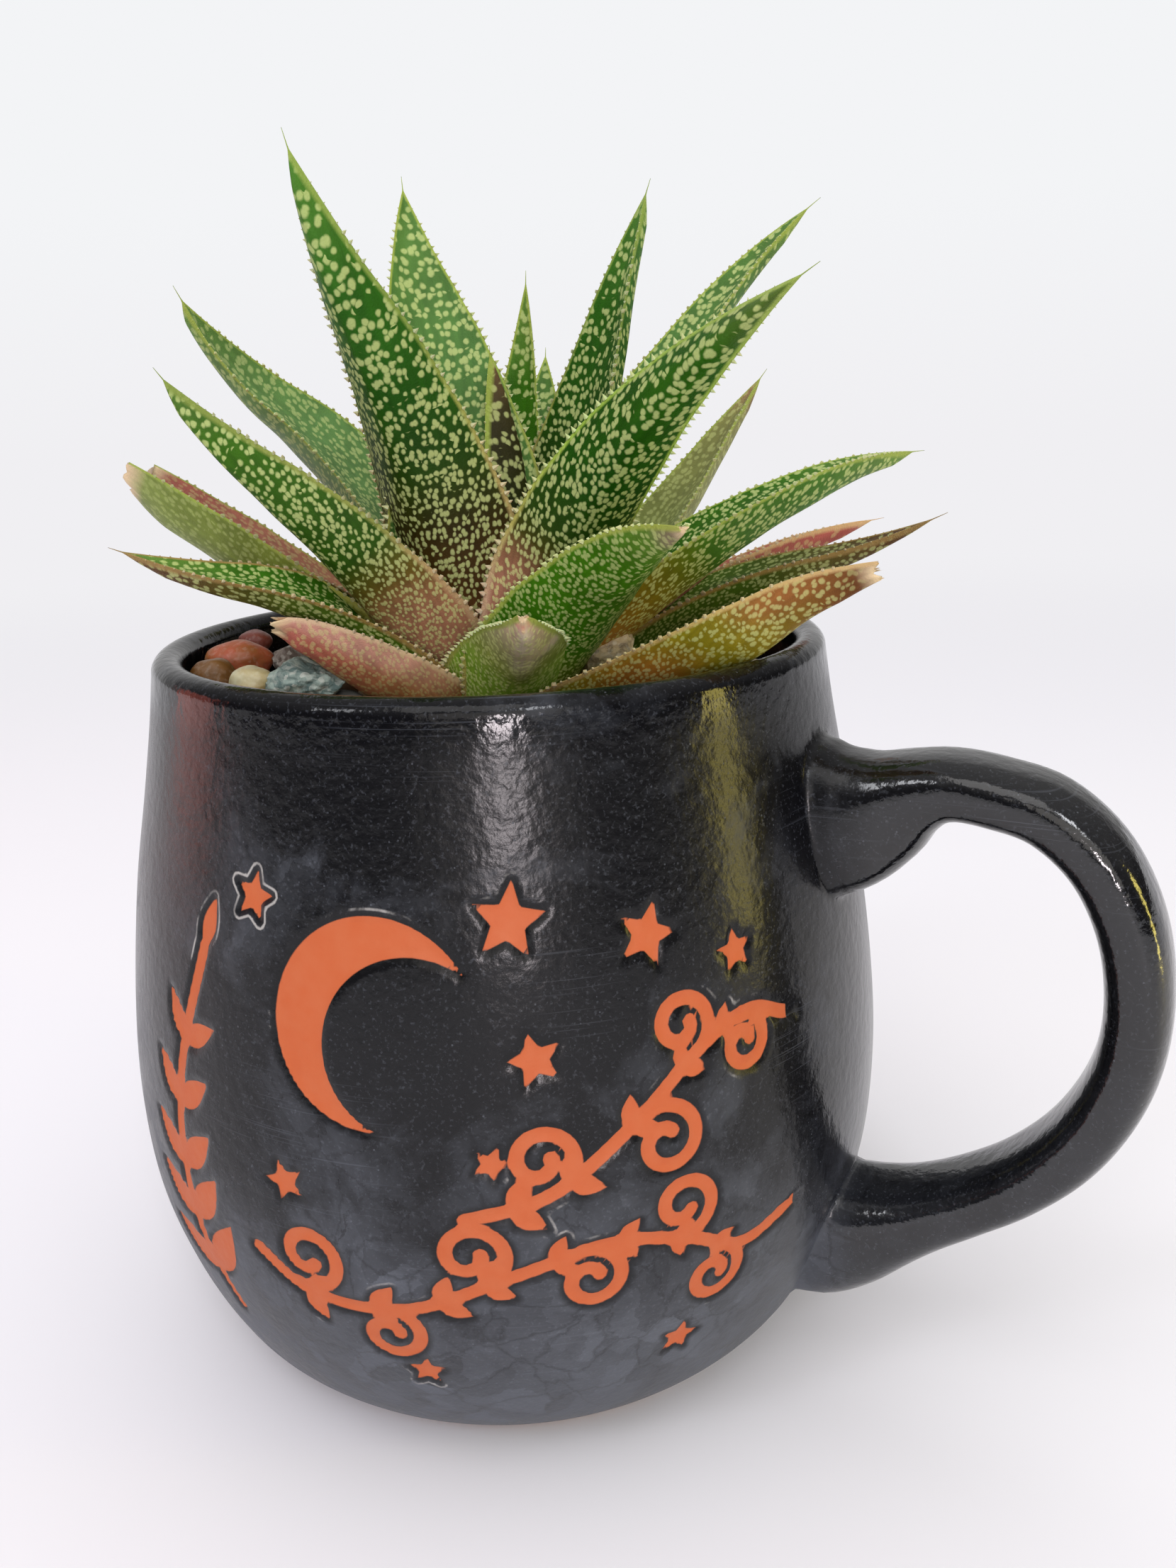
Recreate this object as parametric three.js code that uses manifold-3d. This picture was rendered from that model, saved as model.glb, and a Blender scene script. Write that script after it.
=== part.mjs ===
// A rosette succulent potted in a round-bellied glazed mug.
//
// Millimetres, +Z up. The origin is the middle of the mug's flat foot, and the handle points
// along +X. An azimuth is measured from +X towards +Y, in degrees.

import * as THREE from "three";
import { mergeVertices } from "three/addons/utils/BufferGeometryUtils.js";
import Module from "manifold-3d";

const wasm = await Module();
wasm.setup();

// ---------------------------------------------------------------- driving dimensions

// Mug: outside half-outline from the foot up to the lip, as [radius, height]
const MUG_OUTSIDE = [
  [32, 0],
  [36, 1],
  [41.8, 6.5],
  [44.9, 11.5],
  [47.8, 19],
  [50.1, 28.5],
  [50.7, 40],
  [49.9, 52],
  [47.9, 66.5],
  [45.6, 78],
  [43.9, 87],
  [43, 93],
];
// and the inside of the wall, from the lip down to the floor
const MUG_INSIDE = [
  [39, 93],
  [39.9, 86],
  [41.6, 78],
  [43.8, 66],
  [46.1, 48],
  [46.3, 34],
  [43.6, 20],
  [38, 11.5],
  [28, 7],
];
const MUG_FLOOR = 6;
const LIP_CENTRE = [41, 93];
const LIP_RADIUS = 2;
const LIP_STEPS = 5;
const MUG_SIDES = 42;

// Handle: stations along the strap, as [distance from the axis, height, half thickness, half width]
const HANDLE_STATIONS = [
  [43.6, 74.6, 10.2, 7.4],
  [47, 75, 9.4, 7],
  [50, 75.8, 8.2, 6.6],
  [53.2, 77.3, 6.6, 6.3],
  [56.6, 79.3, 4.8, 6.2],
  [60.2, 80.4, 3.8, 6.2],
  [65, 80, 3.6, 6.2],
  [70.8, 78.4, 3.6, 6.2],
  [76.2, 73.8, 3.6, 6.2],
  [79.8, 67, 3.6, 6.2],
  [81.4, 59.2, 3.6, 6.2],
  [81.2, 51.5, 3.6, 6.2],
  [79.2, 44.5, 3.6, 6.2],
  [75.6, 38, 3.6, 6.2],
  [70.5, 32.4, 3.6, 6.2],
  [65, 28.2, 3.8, 6.2],
  [60, 25, 4.4, 6.3],
  [55.8, 22.6, 5.6, 6.6],
  [51.8, 20.6, 7.2, 7],
  [47.8, 19.2, 8.6, 7.4],
  [43.8, 18.6, 9.4, 7.8],
];
const HANDLE_SECTION_POINTS = 12;
const HANDLE_SQUARENESS = 2.7;

// Filling
const CLEARANCE = 0.3;
const LEAF_ROOM = 0.65;   // round a leaf, for its plain shape is a little straighter than the leaf
const SOIL_TOP = 81.5;
const SOIL_SIDES = 36;
const GRAVEL_BED = { inner: 9, outer: 38.6, bottom: SOIL_TOP + CLEARANCE, top: 88.5 };
const GRAVEL_SEED = 7;
const GRAVEL_COUNT = 28;

// Plant axis, a little off the mug's own
const PLANT_AXIS = { x: -0.3, y: -1.4 };
const STEM = { bottom: 70, shoulder: 85, top: 94, bottomRadius: 6.5, topRadius: 2.4, sides: 12 };

// Leaves. Each one is fitted round those listed before it, so where two press together the one
// in front comes first.
//   azimuth  the way it points        reach    how far out its tip is from the plant's axis
//   root     height where it starts   rise     how far its tip is above that
//   lift     bow upwards at midway    sway     bow to its left at midway (seen from above)
//   hook     how far the last third bends up out of the bow
//   width    at its widest            roll     turn about its own length, in degrees
//   twist    further turn at the root, which dies away towards the tip
//   taper    in place of the common taper
//   end      where it is broken off, as a share of its length; 1 is a whole leaf
const LEAVES = [
  { name: "centre_bud", azimuth: -9, reach: 3, rise: 36, root: 94, lift: -1, sway: 2, hook: -2,
    width: 12, roll: 21 },
  { name: "centre_upright", azimuth: 91.5, reach: 15, rise: 47, root: 93, lift: -3, sway: 1, hook: 0.5,
    width: 11.5, roll: 1.5 },
  { name: "upper_back_left", azimuth: 158, reach: 13, rise: 59, root: 92, lift: 8, sway: 2.5, hook: 4,
    width: 22, roll: -20 },
  { name: "upper_back_right", azimuth: 39, reach: 23, rise: 58.5, root: 90.5, lift: -1.5, sway: 0, hook: -1.5,
    width: 21, roll: 18.5 },
  { name: "short_front", azimuth: 308.5, reach: 35.5, rise: 18.5, root: 84, lift: 3.5, sway: 1.5, hook: 2,
    width: 16, roll: -8, end: 0.95 },
  { name: "bowed_front", azimuth: 326, reach: 48.5, rise: 26, root: 85, lift: 5.5, sway: 4, hook: -1,
    width: 22.5, roll: -5.5, twist: 30, end: 0.97 },
  { name: "upper_front_left", azimuth: 263, reach: 28, rise: 59.5, root: 90.5, lift: 5, sway: 0, hook: 4,
    width: 20, roll: 9.5 },
  { name: "middle_left", azimuth: 232.5, reach: 37.5, rise: 38, root: 90, lift: 1.5, sway: 6, hook: 2.5,
    width: 17, roll: 21, twist: -8 },
  { name: "centre_back", azimuth: 98, reach: 25.5, rise: 40, root: 91, lift: 0, sway: -1.5, hook: 0,
    width: 16, roll: 3 },
  { name: "large_front_right", azimuth: 337.5, reach: 54.5, rise: 48.5, root: 85.5, lift: 8.5, sway: 0, hook: 1,
    width: 15, roll: -70, twist: 95 },
  { name: "long_right", azimuth: 53, reach: 51.5, rise: 59, root: 90, lift: 3, sway: 1, hook: -2,
    width: 17, roll: 9 },
  { name: "upper_left", azimuth: 208, reach: 35.5, rise: 48, root: 90, lift: 5, sway: -11, hook: 6.5,
    width: 23, roll: -14, taper: 1.5 },
  { name: "pink_front_left", azimuth: 246.5, reach: 34, rise: 14, root: 86.5, lift: -0.5, sway: 1.5, hook: -2.5,
    width: 16.5, roll: 15, twist: -27, end: 0.85 },
  { name: "broken_front_right", azimuth: 355, reach: 58.5, rise: 21, root: 85, lift: -4, sway: -3.5, hook: -5.5,
    width: 21, roll: -15, twist: 26, taper: 1.5, end: 0.9 },
  { name: "low_right", azimuth: 20.5, reach: 58, rise: 24, root: 85, lift: 5, sway: 7.5, hook: 4,
    width: 10, roll: 10 },
  { name: "middle_right", azimuth: 33, reach: 58, rise: 28, root: 88, lift: 5, sway: -10.5, hook: -2,
    width: 21.5, roll: 1, twist: -5 },
  { name: "middle_back", azimuth: 150, reach: 42, rise: 30, root: 88, lift: 4, sway: 0, hook: 2,
    width: 17, roll: 0 },
  { name: "olive_back_right", azimuth: 64.5, reach: 51, rise: 39.5, root: 88, lift: -3.5, sway: 0, hook: -2,
    width: 16, roll: -3 },
  { name: "outer_back", azimuth: 118, reach: 44, rise: 26, root: 87, lift: 4, sway: -1, hook: 2,
    width: 17, roll: 4 },
  { name: "low_left", azimuth: 236, reach: 45, rise: 24.5, root: 84.5, lift: 7, sway: 5, hook: 3.5,
    width: 14, roll: -24, twist: 35 },
  { name: "broken_left", azimuth: 212.5, reach: 61, rise: 37.5, root: 87.5, lift: 1, sway: -1.5, hook: -2,
    width: 21.5, roll: 4.5, taper: 3, end: 0.69 },
  { name: "red_back_right", azimuth: 46, reach: 59, rise: 20.5, root: 86, lift: 1.5, sway: 2.5, hook: -1.5,
    width: 15.5, roll: -11 },
  { name: "low_back_left", azimuth: 172, reach: 43, rise: 18, root: 86, lift: 4, sway: 0, hook: 2,
    width: 16, roll: -4 },
  { name: "low_back", azimuth: 135, reach: 44, rise: 13, root: 85.5, lift: 3, sway: 0, hook: 1,
    width: 15, roll: 3 },
  { name: "low_back_right", azimuth: 84, reach: 43, rise: 20, root: 86, lift: 3, sway: 0, hook: 1,
    width: 15, roll: 0 },
];
const LEAF = {
  thickness: 4.6,        // of the flesh where it is thickest
  thickestAt: 0.2,
  rootThickness: 0.6,    // of the flesh at the root, as a share of the thickest
  thinnest: 0.6,
  widestAt: 0.22,        // share of the length where the blade is widest
  rootWidth: 0.6,        // width at the root, as a share of the widest
  taper: 1.25,           // above 1, the sides of the blade bulge on their way to the tip
  channel: 0.3,          // depth of the gutter along the upper face, as a share of the half width
  tipWidth: 0.7,
  tooth: 0.5,            // how far a marginal tooth stands out
  stations: 22,
  plainStations: 12,     // of the plain shape that its neighbours are cut back from
};
const UPPER_FACE = [-1, 0, 1];
const LOWER_FACE = [0.5, 0, -0.5];
const KEEL_SHARPNESS = 1.6;

// Stones that lie on top of the gravel, where the plant leaves it bare:
// [name, centre x, y, z, half sizes x, y, z, turn in degrees, colour]
const LOOSE_STONES = [
  ["pebble_brown", -27, -23.5, 91.6, 2.7, 2.3, 2.2, 30, 0x8a5230],
  ["pebble_orange", -28.8, -16.8, 92, 4.3, 3.1, 2.8, 20, 0xb2593c],
  ["pebble_cream", -18, -26.6, 91.8, 3, 2.4, 2.1, -20, 0xb59a5c],
  ["pebble_dark_red", -33, -9, 93, 2.4, 1.9, 1.8, 0, 0x6e2f26],
  ["rock_teal", -12.6, -23.4, 91.4, 5.6, 4.2, 3, 15, 0x6f8783],
  ["rock_grey", -20.6, -15, 92, 3.4, 2.7, 2.4, 40, 0x6b625c],
  ["rock_tan", 18.3, -1.7, 93, 3.5, 3.2, 3.6, 10, 0xa08f78],
];

// ---------------------------------------------------------------- solids

const radians = THREE.MathUtils.degToRad;

/** A closed geometry as a manifold solid. */
function toSolid(geometry) {
  const bare = geometry.clone();
  bare.deleteAttribute("normal");
  bare.deleteAttribute("uv");
  const merged = mergeVertices(bare, 1e-4);
  const index = merged.index.array;
  const triangles = [];
  for (let i = 0; i < index.length; i += 3) {
    const [a, b, c] = [index[i], index[i + 1], index[i + 2]];
    if (a !== b && b !== c && c !== a) triangles.push(a, b, c);
  }
  return new wasm.Manifold(new wasm.Mesh({
    numProp: 3,
    vertProperties: new Float32Array(merged.attributes.position.array),
    triVerts: new Uint32Array(triangles),
  }));
}

/** A manifold solid as a geometry. */
function toGeometry(solid) {
  const mesh = solid.getMesh();
  const geometry = new THREE.BufferGeometry();
  geometry.setAttribute("position", new THREE.BufferAttribute(new Float32Array(mesh.vertProperties), 3));
  geometry.setIndex(new THREE.BufferAttribute(new Uint32Array(mesh.triVerts), 1));
  return geometry;
}

/** The largest separate piece of a solid, without the scraps that a cut leaves. */
function largestPiece(solid) {
  return solid.decompose().reduce((best, piece) => (piece.volume() > best.volume() ? piece : best));
}

/** Rings of points joined into a skin and closed at both ends, with its faces out. */
function loft(rings) {
  const count = rings[0].length;
  const points = rings.flat();
  const triangles = [];
  for (let i = 0; i + 1 < rings.length; i += 1) {
    for (let j = 0; j < count; j += 1) {
      const a = i * count + j;
      const b = i * count + ((j + 1) % count);
      triangles.push(a, b, a + count, b, b + count, a + count);
    }
  }
  const closeEnd = (ring, first, outward) => {
    const middle = ring.reduce((sum, p) => sum.add(p), new THREE.Vector3()).divideScalar(count);
    points.push(middle);
    for (let j = 0; j < count; j += 1) {
      const [a, b] = [first + j, first + ((j + 1) % count)];
      triangles.push(points.length - 1, ...(outward ? [a, b] : [b, a]));
    }
  };
  closeEnd(rings[0], 0, false);
  closeEnd(rings[rings.length - 1], (rings.length - 1) * count, true);
  const geometry = new THREE.BufferGeometry().setFromPoints(points);
  geometry.setIndex(triangles);
  return geometry;
}

/** The same geometry with every triangle turned over. */
function turnedOver(geometry) {
  const index = Array.from(geometry.index.array);
  for (let i = 0; i < index.length; i += 3) [index[i], index[i + 1]] = [index[i + 1], index[i]];
  geometry.setIndex(index);
  return geometry;
}

/** A solid from a geometry whose faces may all point in. */
function toOutwardSolid(geometry) {
  const solid = toSolid(geometry);
  return solid.volume() > 0 ? solid : toSolid(turnedOver(geometry));
}

/** A profile of [radius, height] points turned about the Z axis. */
function turned(profile, sides) {
  const geometry = new THREE.LatheGeometry(profile.map(([r, z]) => new THREE.Vector2(r, z)), sides);
  geometry.rotateX(Math.PI / 2);
  return toOutwardSolid(geometry);
}

/** A random number maker that always gives the same numbers. */
function seededRandom(seed) {
  let state = seed;
  return () => {
    state = (state * 1664525 + 1013904223) % 4294967296;
    return state / 4294967296;
  };
}

// ---------------------------------------------------------------- mug

function mugBody() {
  const lip = [];
  for (let i = 1; i < LIP_STEPS; i += 1) {
    const angle = (Math.PI * i) / LIP_STEPS;
    lip.push([LIP_CENTRE[0] + LIP_RADIUS * Math.cos(angle), LIP_CENTRE[1] + LIP_RADIUS * Math.sin(angle)]);
  }
  return turned([[0, 0], ...MUG_OUTSIDE, ...lip, ...MUG_INSIDE, [0, MUG_FLOOR]], MUG_SIDES);
}

function mugInside() {
  return turned([[0, MUG_FLOOR], ...[...MUG_INSIDE].reverse(), [39, 99], [0, 99]], MUG_SIDES);
}

/** The strap handle: a rounded-rectangle section along a bent path, flared where it meets the wall. */
function handle() {
  const path = HANDLE_STATIONS.map(([x, z]) => new THREE.Vector3(x, 0, z));
  const rings = HANDLE_STATIONS.map(([, , halfThickness, halfWidth], i) => {
    const before = path[Math.max(i - 1, 0)];
    const after = path[Math.min(i + 1, path.length - 1)];
    const along = after.clone().sub(before).normalize();
    const across = new THREE.Vector3(0, 1, 0);
    const out = new THREE.Vector3().crossVectors(along, across);
    const ring = [];
    for (let j = 0; j < HANDLE_SECTION_POINTS; j += 1) {
      const angle = (2 * Math.PI * (j + 0.5)) / HANDLE_SECTION_POINTS;
      const [c, s] = [Math.cos(angle), Math.sin(angle)];
      const corner = (Math.abs(c) ** HANDLE_SQUARENESS + Math.abs(s) ** HANDLE_SQUARENESS) ** (-1 / HANDLE_SQUARENESS);
      ring.push(path[i].clone()
        .addScaledVector(across, halfWidth * corner * c)
        .addScaledVector(out, halfThickness * corner * s));
    }
    return ring;
  });
  return toOutwardSolid(loft(rings));
}

function mug() {
  return mugBody().add(handle().subtract(mugInside()));
}

// ---------------------------------------------------------------- plant

/** A leaf's width at a share t of its length, as a share of its widest. */
function leafWidth(t, leaf) {
  const swell = 1 - (1 - LEAF.rootWidth) * (1 - Math.min(t / LEAF.widestAt, 1)) ** 2;
  const narrowing = 1 - Math.max((t - LEAF.widestAt) / (1 - LEAF.widestAt), 0) ** (leaf.taper ?? LEAF.taper);
  return swell * narrowing;
}

/** The depth of a leaf's flesh at a share t of its length. */
function leafThickness(t) {
  const swell = 1 - (1 - LEAF.rootThickness) * (1 - Math.min(t / LEAF.thickestAt, 1)) ** 2;
  return LEAF.thickness * swell * (0.15 + 0.85 * (1 - t) ** 0.7);
}

/** The stem's radius at a height. */
function stemRadius(height) {
  const share = (height - STEM.shoulder) / (STEM.top - STEM.shoulder);
  return THREE.MathUtils.lerp(STEM.bottomRadius, STEM.topRadius, THREE.MathUtils.clamp(share, 0, 1));
}

/** One keeled, gutter-faced leaf with toothed margins, or the plain room that it takes, grown by extra. */
function leafSolid(leaf, extra = 0) {
  const plain = extra > 0;
  const stations = plain ? LEAF.plainStations : LEAF.stations;
  const azimuth = radians(leaf.azimuth);
  const outward = new THREE.Vector3(Math.cos(azimuth), Math.sin(azimuth), 0);
  const up = new THREE.Vector3(0, 0, 1);
  const axis = new THREE.Vector3(PLANT_AXIS.x, PLANT_AXIS.y, leaf.root);
  const root = axis.clone().addScaledVector(outward, stemRadius(leaf.root));
  const tip = axis.clone().addScaledVector(outward, leaf.reach).addScaledVector(up, leaf.rise);
  const chord = tip.clone().sub(root);
  const straight = chord.clone().normalize();
  const side = new THREE.Vector3(-Math.sin(azimuth), Math.cos(azimuth), 0);
  const above = new THREE.Vector3().crossVectors(straight, side);

  const end = leaf.end ?? 1;
  const along = (t) => root.clone().addScaledVector(chord, t)
    .addScaledVector(above, 4 * t * (1 - t) * leaf.lift + (Math.max((t - 0.7) / 0.3, 0) ** 2 - t) * leaf.hook)
    .addScaledVector(side, 4 * t * (1 - t) * leaf.sway);

  const rings = [];
  for (let i = 0; i < stations; i += 1) {
    const t = (end * i) / (stations - 1) + (plain ? -0.01 : 0);
    const heading = along(t + 0.01).sub(along(t - 0.01)).normalize();
    const level = side.clone().addScaledVector(heading, -side.dot(heading)).normalize();
    const normal = new THREE.Vector3().crossVectors(heading, level);
    const turn = radians(leaf.roll + (leaf.twist ?? 0) * (1 - t) ** 2);
    level.applyAxisAngle(heading, turn);
    normal.applyAxisAngle(heading, turn);

    const half = Math.max(leafWidth(t, leaf) * leaf.width, LEAF.tipWidth) / 2;
    const flesh = Math.max(Math.min(leafThickness(t), 1.2 * half), LEAF.thinnest);
    const toothed = plain || (i % 2 === 1 && t < 0.93 * end);
    const tooth = toothed ? LEAF.tooth * Math.min(1, half / 3) : 0;
    const middle = along(t);
    const place = (across, height) => middle.clone().addScaledVector(level, across).addScaledVector(normal, height);
    const gutter = (u) => half * LEAF.channel * u * u;
    const upper = UPPER_FACE.map((u) => {
      const margin = Math.abs(u) * (tooth + 2 * extra);
      return place(u * (half + margin), gutter(u) * (1 + (plain ? margin / half : 0)) + extra);
    });
    const lower = LOWER_FACE.map((u) => place(
      half * u * (1 + extra / 6),
      gutter(u) - flesh * (1 - Math.abs(u) ** KEEL_SHARPNESS) - extra,
    ));
    rings.push([...upper, ...lower]);
  }
  return toOutwardSolid(loft(rings));
}

/** The short stem that the leaves grow round, sunk in the soil. */
function stemSolid(extra = 0) {
  const { bottom, shoulder, top, bottomRadius, topRadius, sides } = STEM;
  const stem = turned([
    [0, bottom - extra],
    [bottomRadius + extra, bottom - extra],
    [bottomRadius + extra, shoulder],
    [topRadius + extra, top + extra],
    [0, top + extra],
  ], sides);
  return stem.translate([PLANT_AXIS.x, PLANT_AXIS.y, 0]);
}

/** The leaves, each cut back from the stem and from those listed before it, and the room that they all take. */
function rosette() {
  let taken = stemSolid(CLEARANCE);
  const leaves = LEAVES.map((leaf) => {
    const solid = largestPiece(leafSolid(leaf).subtract(taken));
    taken = taken.add(leafSolid(leaf, LEAF_ROOM));
    return { name: `leaf_${leaf.name}`, solid };
  });
  return { leaves, taken };
}

// ---------------------------------------------------------------- filling

/** A stone: a ball with a few facets, pushed in and out a little, stretched, turned and placed. */
function stoneSolid(centre, halfSizes, turn, random, extra = 0, detail = 1) {
  const geometry = mergeVertices(new THREE.IcosahedronGeometry(1, detail).deleteAttribute("normal")
    .deleteAttribute("uv"), 1e-4);
  const points = geometry.attributes.position;
  for (let i = 0; i < points.count; i += 1) {
    const bump = 0.9 + 0.2 * random();
    points.setXYZ(i, points.getX(i) * bump, points.getY(i) * bump, points.getZ(i) * bump);
  }
  geometry.scale(...halfSizes.map((half) => half + extra));
  geometry.rotateZ(radians(turn));
  geometry.translate(...centre);
  return toSolid(geometry);
}

/** The bed of small stones: a spiral of pebbles sunk in a low ring. */
function gravelSolid() {
  const { inner, outer, bottom, top } = GRAVEL_BED;
  const random = seededRandom(GRAVEL_SEED);
  let bed = turned([[inner, bottom], [outer, bottom], [outer, top], [inner, top], [inner, bottom]], SOIL_SIDES);
  const goldenAngle = Math.PI * (3 - Math.sqrt(5));
  for (let i = 0; i < GRAVEL_COUNT; i += 1) {
    const share = (i + 0.5) / GRAVEL_COUNT;
    const radius = Math.sqrt(inner ** 2 + share * ((outer - 4) ** 2 - inner ** 2));
    const angle = i * goldenAngle;
    const size = 2.3 + 1 * random();
    const centre = [radius * Math.cos(angle), radius * Math.sin(angle), top + 0.6 * random()];
    const halfSizes = [size * 1.25, size, size * 0.75];
    bed = bed.add(stoneSolid(centre, halfSizes, 360 * random(), random, 0, 0));
  }
  return bed;
}

/** The plug of soil that fills the mug below the stones. */
function soilSolid() {
  const wall = MUG_INSIDE.filter(([, z]) => z < SOIL_TOP).reverse().map(([r, z]) => [r - 1, z + CLEARANCE]);
  return turned([[0, MUG_FLOOR + CLEARANCE], ...wall, [GRAVEL_BED.outer, SOIL_TOP], [0, SOIL_TOP]], SOIL_SIDES);
}

// ---------------------------------------------------------------- assembly

const FINISHES = {
  glaze: { color: 0x1a1a1d, roughness: 0.35, metalness: 0 },
  soil: { color: 0x3a2a1f, roughness: 1, metalness: 0 },
  stem: { color: 0x8a7a50, roughness: 0.8, metalness: 0 },
  leaf: { color: 0x2f6b22, roughness: 0.45, metalness: 0 },
  pinkLeaf: { color: 0xb5706a, roughness: 0.5, metalness: 0 },
  gravel: { color: 0x8c8478, roughness: 0.9, metalness: 0 },
};
const PINK_LEAVES = ["leaf_pink_front_left", "leaf_red_back_right"];

const pottedPlant = new THREE.Group();

function addMesh(name, solid, finish) {
  const mesh = new THREE.Mesh(toGeometry(solid), new THREE.MeshStandardMaterial(finish));
  mesh.name = name;
  pottedPlant.add(mesh);
}

const { leaves, taken } = rosette();
const stoneRandom = seededRandom(GRAVEL_SEED + 1);
let stonesTaken = taken;
const looseStones = LOOSE_STONES.map(([name, x, y, z, hx, hy, hz, turn, color]) => {
  const seed = 1 + Math.floor(1000 * stoneRandom());
  const solid = largestPiece(stoneSolid([x, y, z], [hx, hy, hz], turn, seededRandom(seed)).subtract(stonesTaken));
  stonesTaken = stonesTaken.add(stoneSolid([x, y, z], [hx, hy, hz], turn, seededRandom(seed), CLEARANCE));
  return { name, solid, color };
});

addMesh("mug", mug(), FINISHES.glaze);
addMesh("potting_soil", largestPiece(soilSolid().subtract(stonesTaken)), FINISHES.soil);
addMesh("gravel", largestPiece(gravelSolid().subtract(stonesTaken)), FINISHES.gravel);
addMesh("stem", stemSolid(), FINISHES.stem);
for (const { name, solid, color } of looseStones) addMesh(name, solid, { ...FINISHES.gravel, color });
for (const { name, solid } of leaves) {
  addMesh(name, solid, PINK_LEAVES.includes(name) ? FINISHES.pinkLeaf : FINISHES.leaf);
}

export default pottedPlant;
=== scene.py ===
import math
from functools import partial

import bmesh
import bpy
import numpy as np
from mathutils import Matrix, Vector, noise


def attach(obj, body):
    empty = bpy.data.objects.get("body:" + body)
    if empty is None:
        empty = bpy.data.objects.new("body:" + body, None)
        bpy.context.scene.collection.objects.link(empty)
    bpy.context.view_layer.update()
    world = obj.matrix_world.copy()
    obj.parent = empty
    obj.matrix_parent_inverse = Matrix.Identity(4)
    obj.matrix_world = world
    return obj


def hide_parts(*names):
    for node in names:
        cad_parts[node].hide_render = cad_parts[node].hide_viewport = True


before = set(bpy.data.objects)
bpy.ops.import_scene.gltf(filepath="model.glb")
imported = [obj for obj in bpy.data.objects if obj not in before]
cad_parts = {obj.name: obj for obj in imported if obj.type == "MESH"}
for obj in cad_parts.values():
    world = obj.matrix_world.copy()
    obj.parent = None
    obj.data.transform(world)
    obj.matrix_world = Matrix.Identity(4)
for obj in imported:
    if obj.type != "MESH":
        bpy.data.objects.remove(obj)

bl_info = {
    "name": "Potted rosette succulent",
    "version": (1, 0, 0),
    "blender": (4, 5, 0),
    "location": "View3D > Sidebar > Succulent",
    "description": "Makes a spotted, tooth-edged rosette succulent in a glazed belly mug, piece by piece",
    "category": "Add Mesh",
}

# Lengths below are in millimetres, in the frame of the part: the mug's axis is Z, the table is z = 0 and
# the handle points along +X. Azimuths are degrees from +X towards +Y. MM turns them into metres.
MM = 0.001
BODY = "root"

# ------------------------------------------------------------------ sizes shared with the part's source

MUG_OUTSIDE = [
    (32, 0), (36, 1), (41.8, 6.5), (44.9, 11.5), (47.8, 19), (50.1, 28.5), (50.7, 40),
    (49.9, 52), (47.9, 66.5), (45.6, 78), (43.9, 87), (43, 93),
]
MUG_INSIDE = [
    (39, 93), (39.9, 86), (41.6, 78), (43.8, 66), (46.1, 48), (46.3, 34), (43.6, 20), (38, 11.5), (28, 7),
]
MUG_FLOOR = 6
LIP_CENTRE = (41, 93)
LIP_RADIUS = 2

# Handle stations: distance from the axis, height, half thickness, half width
HANDLE_STATIONS = [
    (43.6, 74.6, 10.2, 7.4), (47, 75, 9.4, 7), (50, 75.8, 8.2, 6.6), (53.2, 77.3, 6.6, 6.3),
    (56.6, 79.3, 4.8, 6.2), (60.2, 80.4, 3.8, 6.2), (65, 80, 3.6, 6.2), (70.8, 78.4, 3.6, 6.2),
    (76.2, 73.8, 3.6, 6.2), (79.8, 67, 3.6, 6.2), (81.4, 59.2, 3.6, 6.2), (81.2, 51.5, 3.6, 6.2),
    (79.2, 44.5, 3.6, 6.2), (75.6, 38, 3.6, 6.2), (70.5, 32.4, 3.6, 6.2), (65, 28.2, 3.8, 6.2),
    (60, 25, 4.4, 6.3), (55.8, 22.6, 5.6, 6.6), (51.8, 20.6, 7.2, 7), (47.8, 19.2, 8.6, 7.4),
    (43.8, 18.6, 9.4, 7.8),
]
HANDLE_SQUARENESS = 2.7

PLANT_AXIS = (-0.3, -1.4)
STEM_SHOULDER, STEM_TOP = 85, 94
STEM_RADII = (6.5, 2.4)
GRAVEL_INNER, GRAVEL_OUTER, GRAVEL_TOP = 9, 38.6, 88.5

LEAF_THICKNESS = 4.6
THICKEST_AT = 0.2
ROOT_THICKNESS = 0.6
WIDEST_AT = 0.22
ROOT_WIDTH = 0.6
TAPER = 1.25
CHANNEL = 0.3
KEEL_SHARPNESS = 1.6

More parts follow.
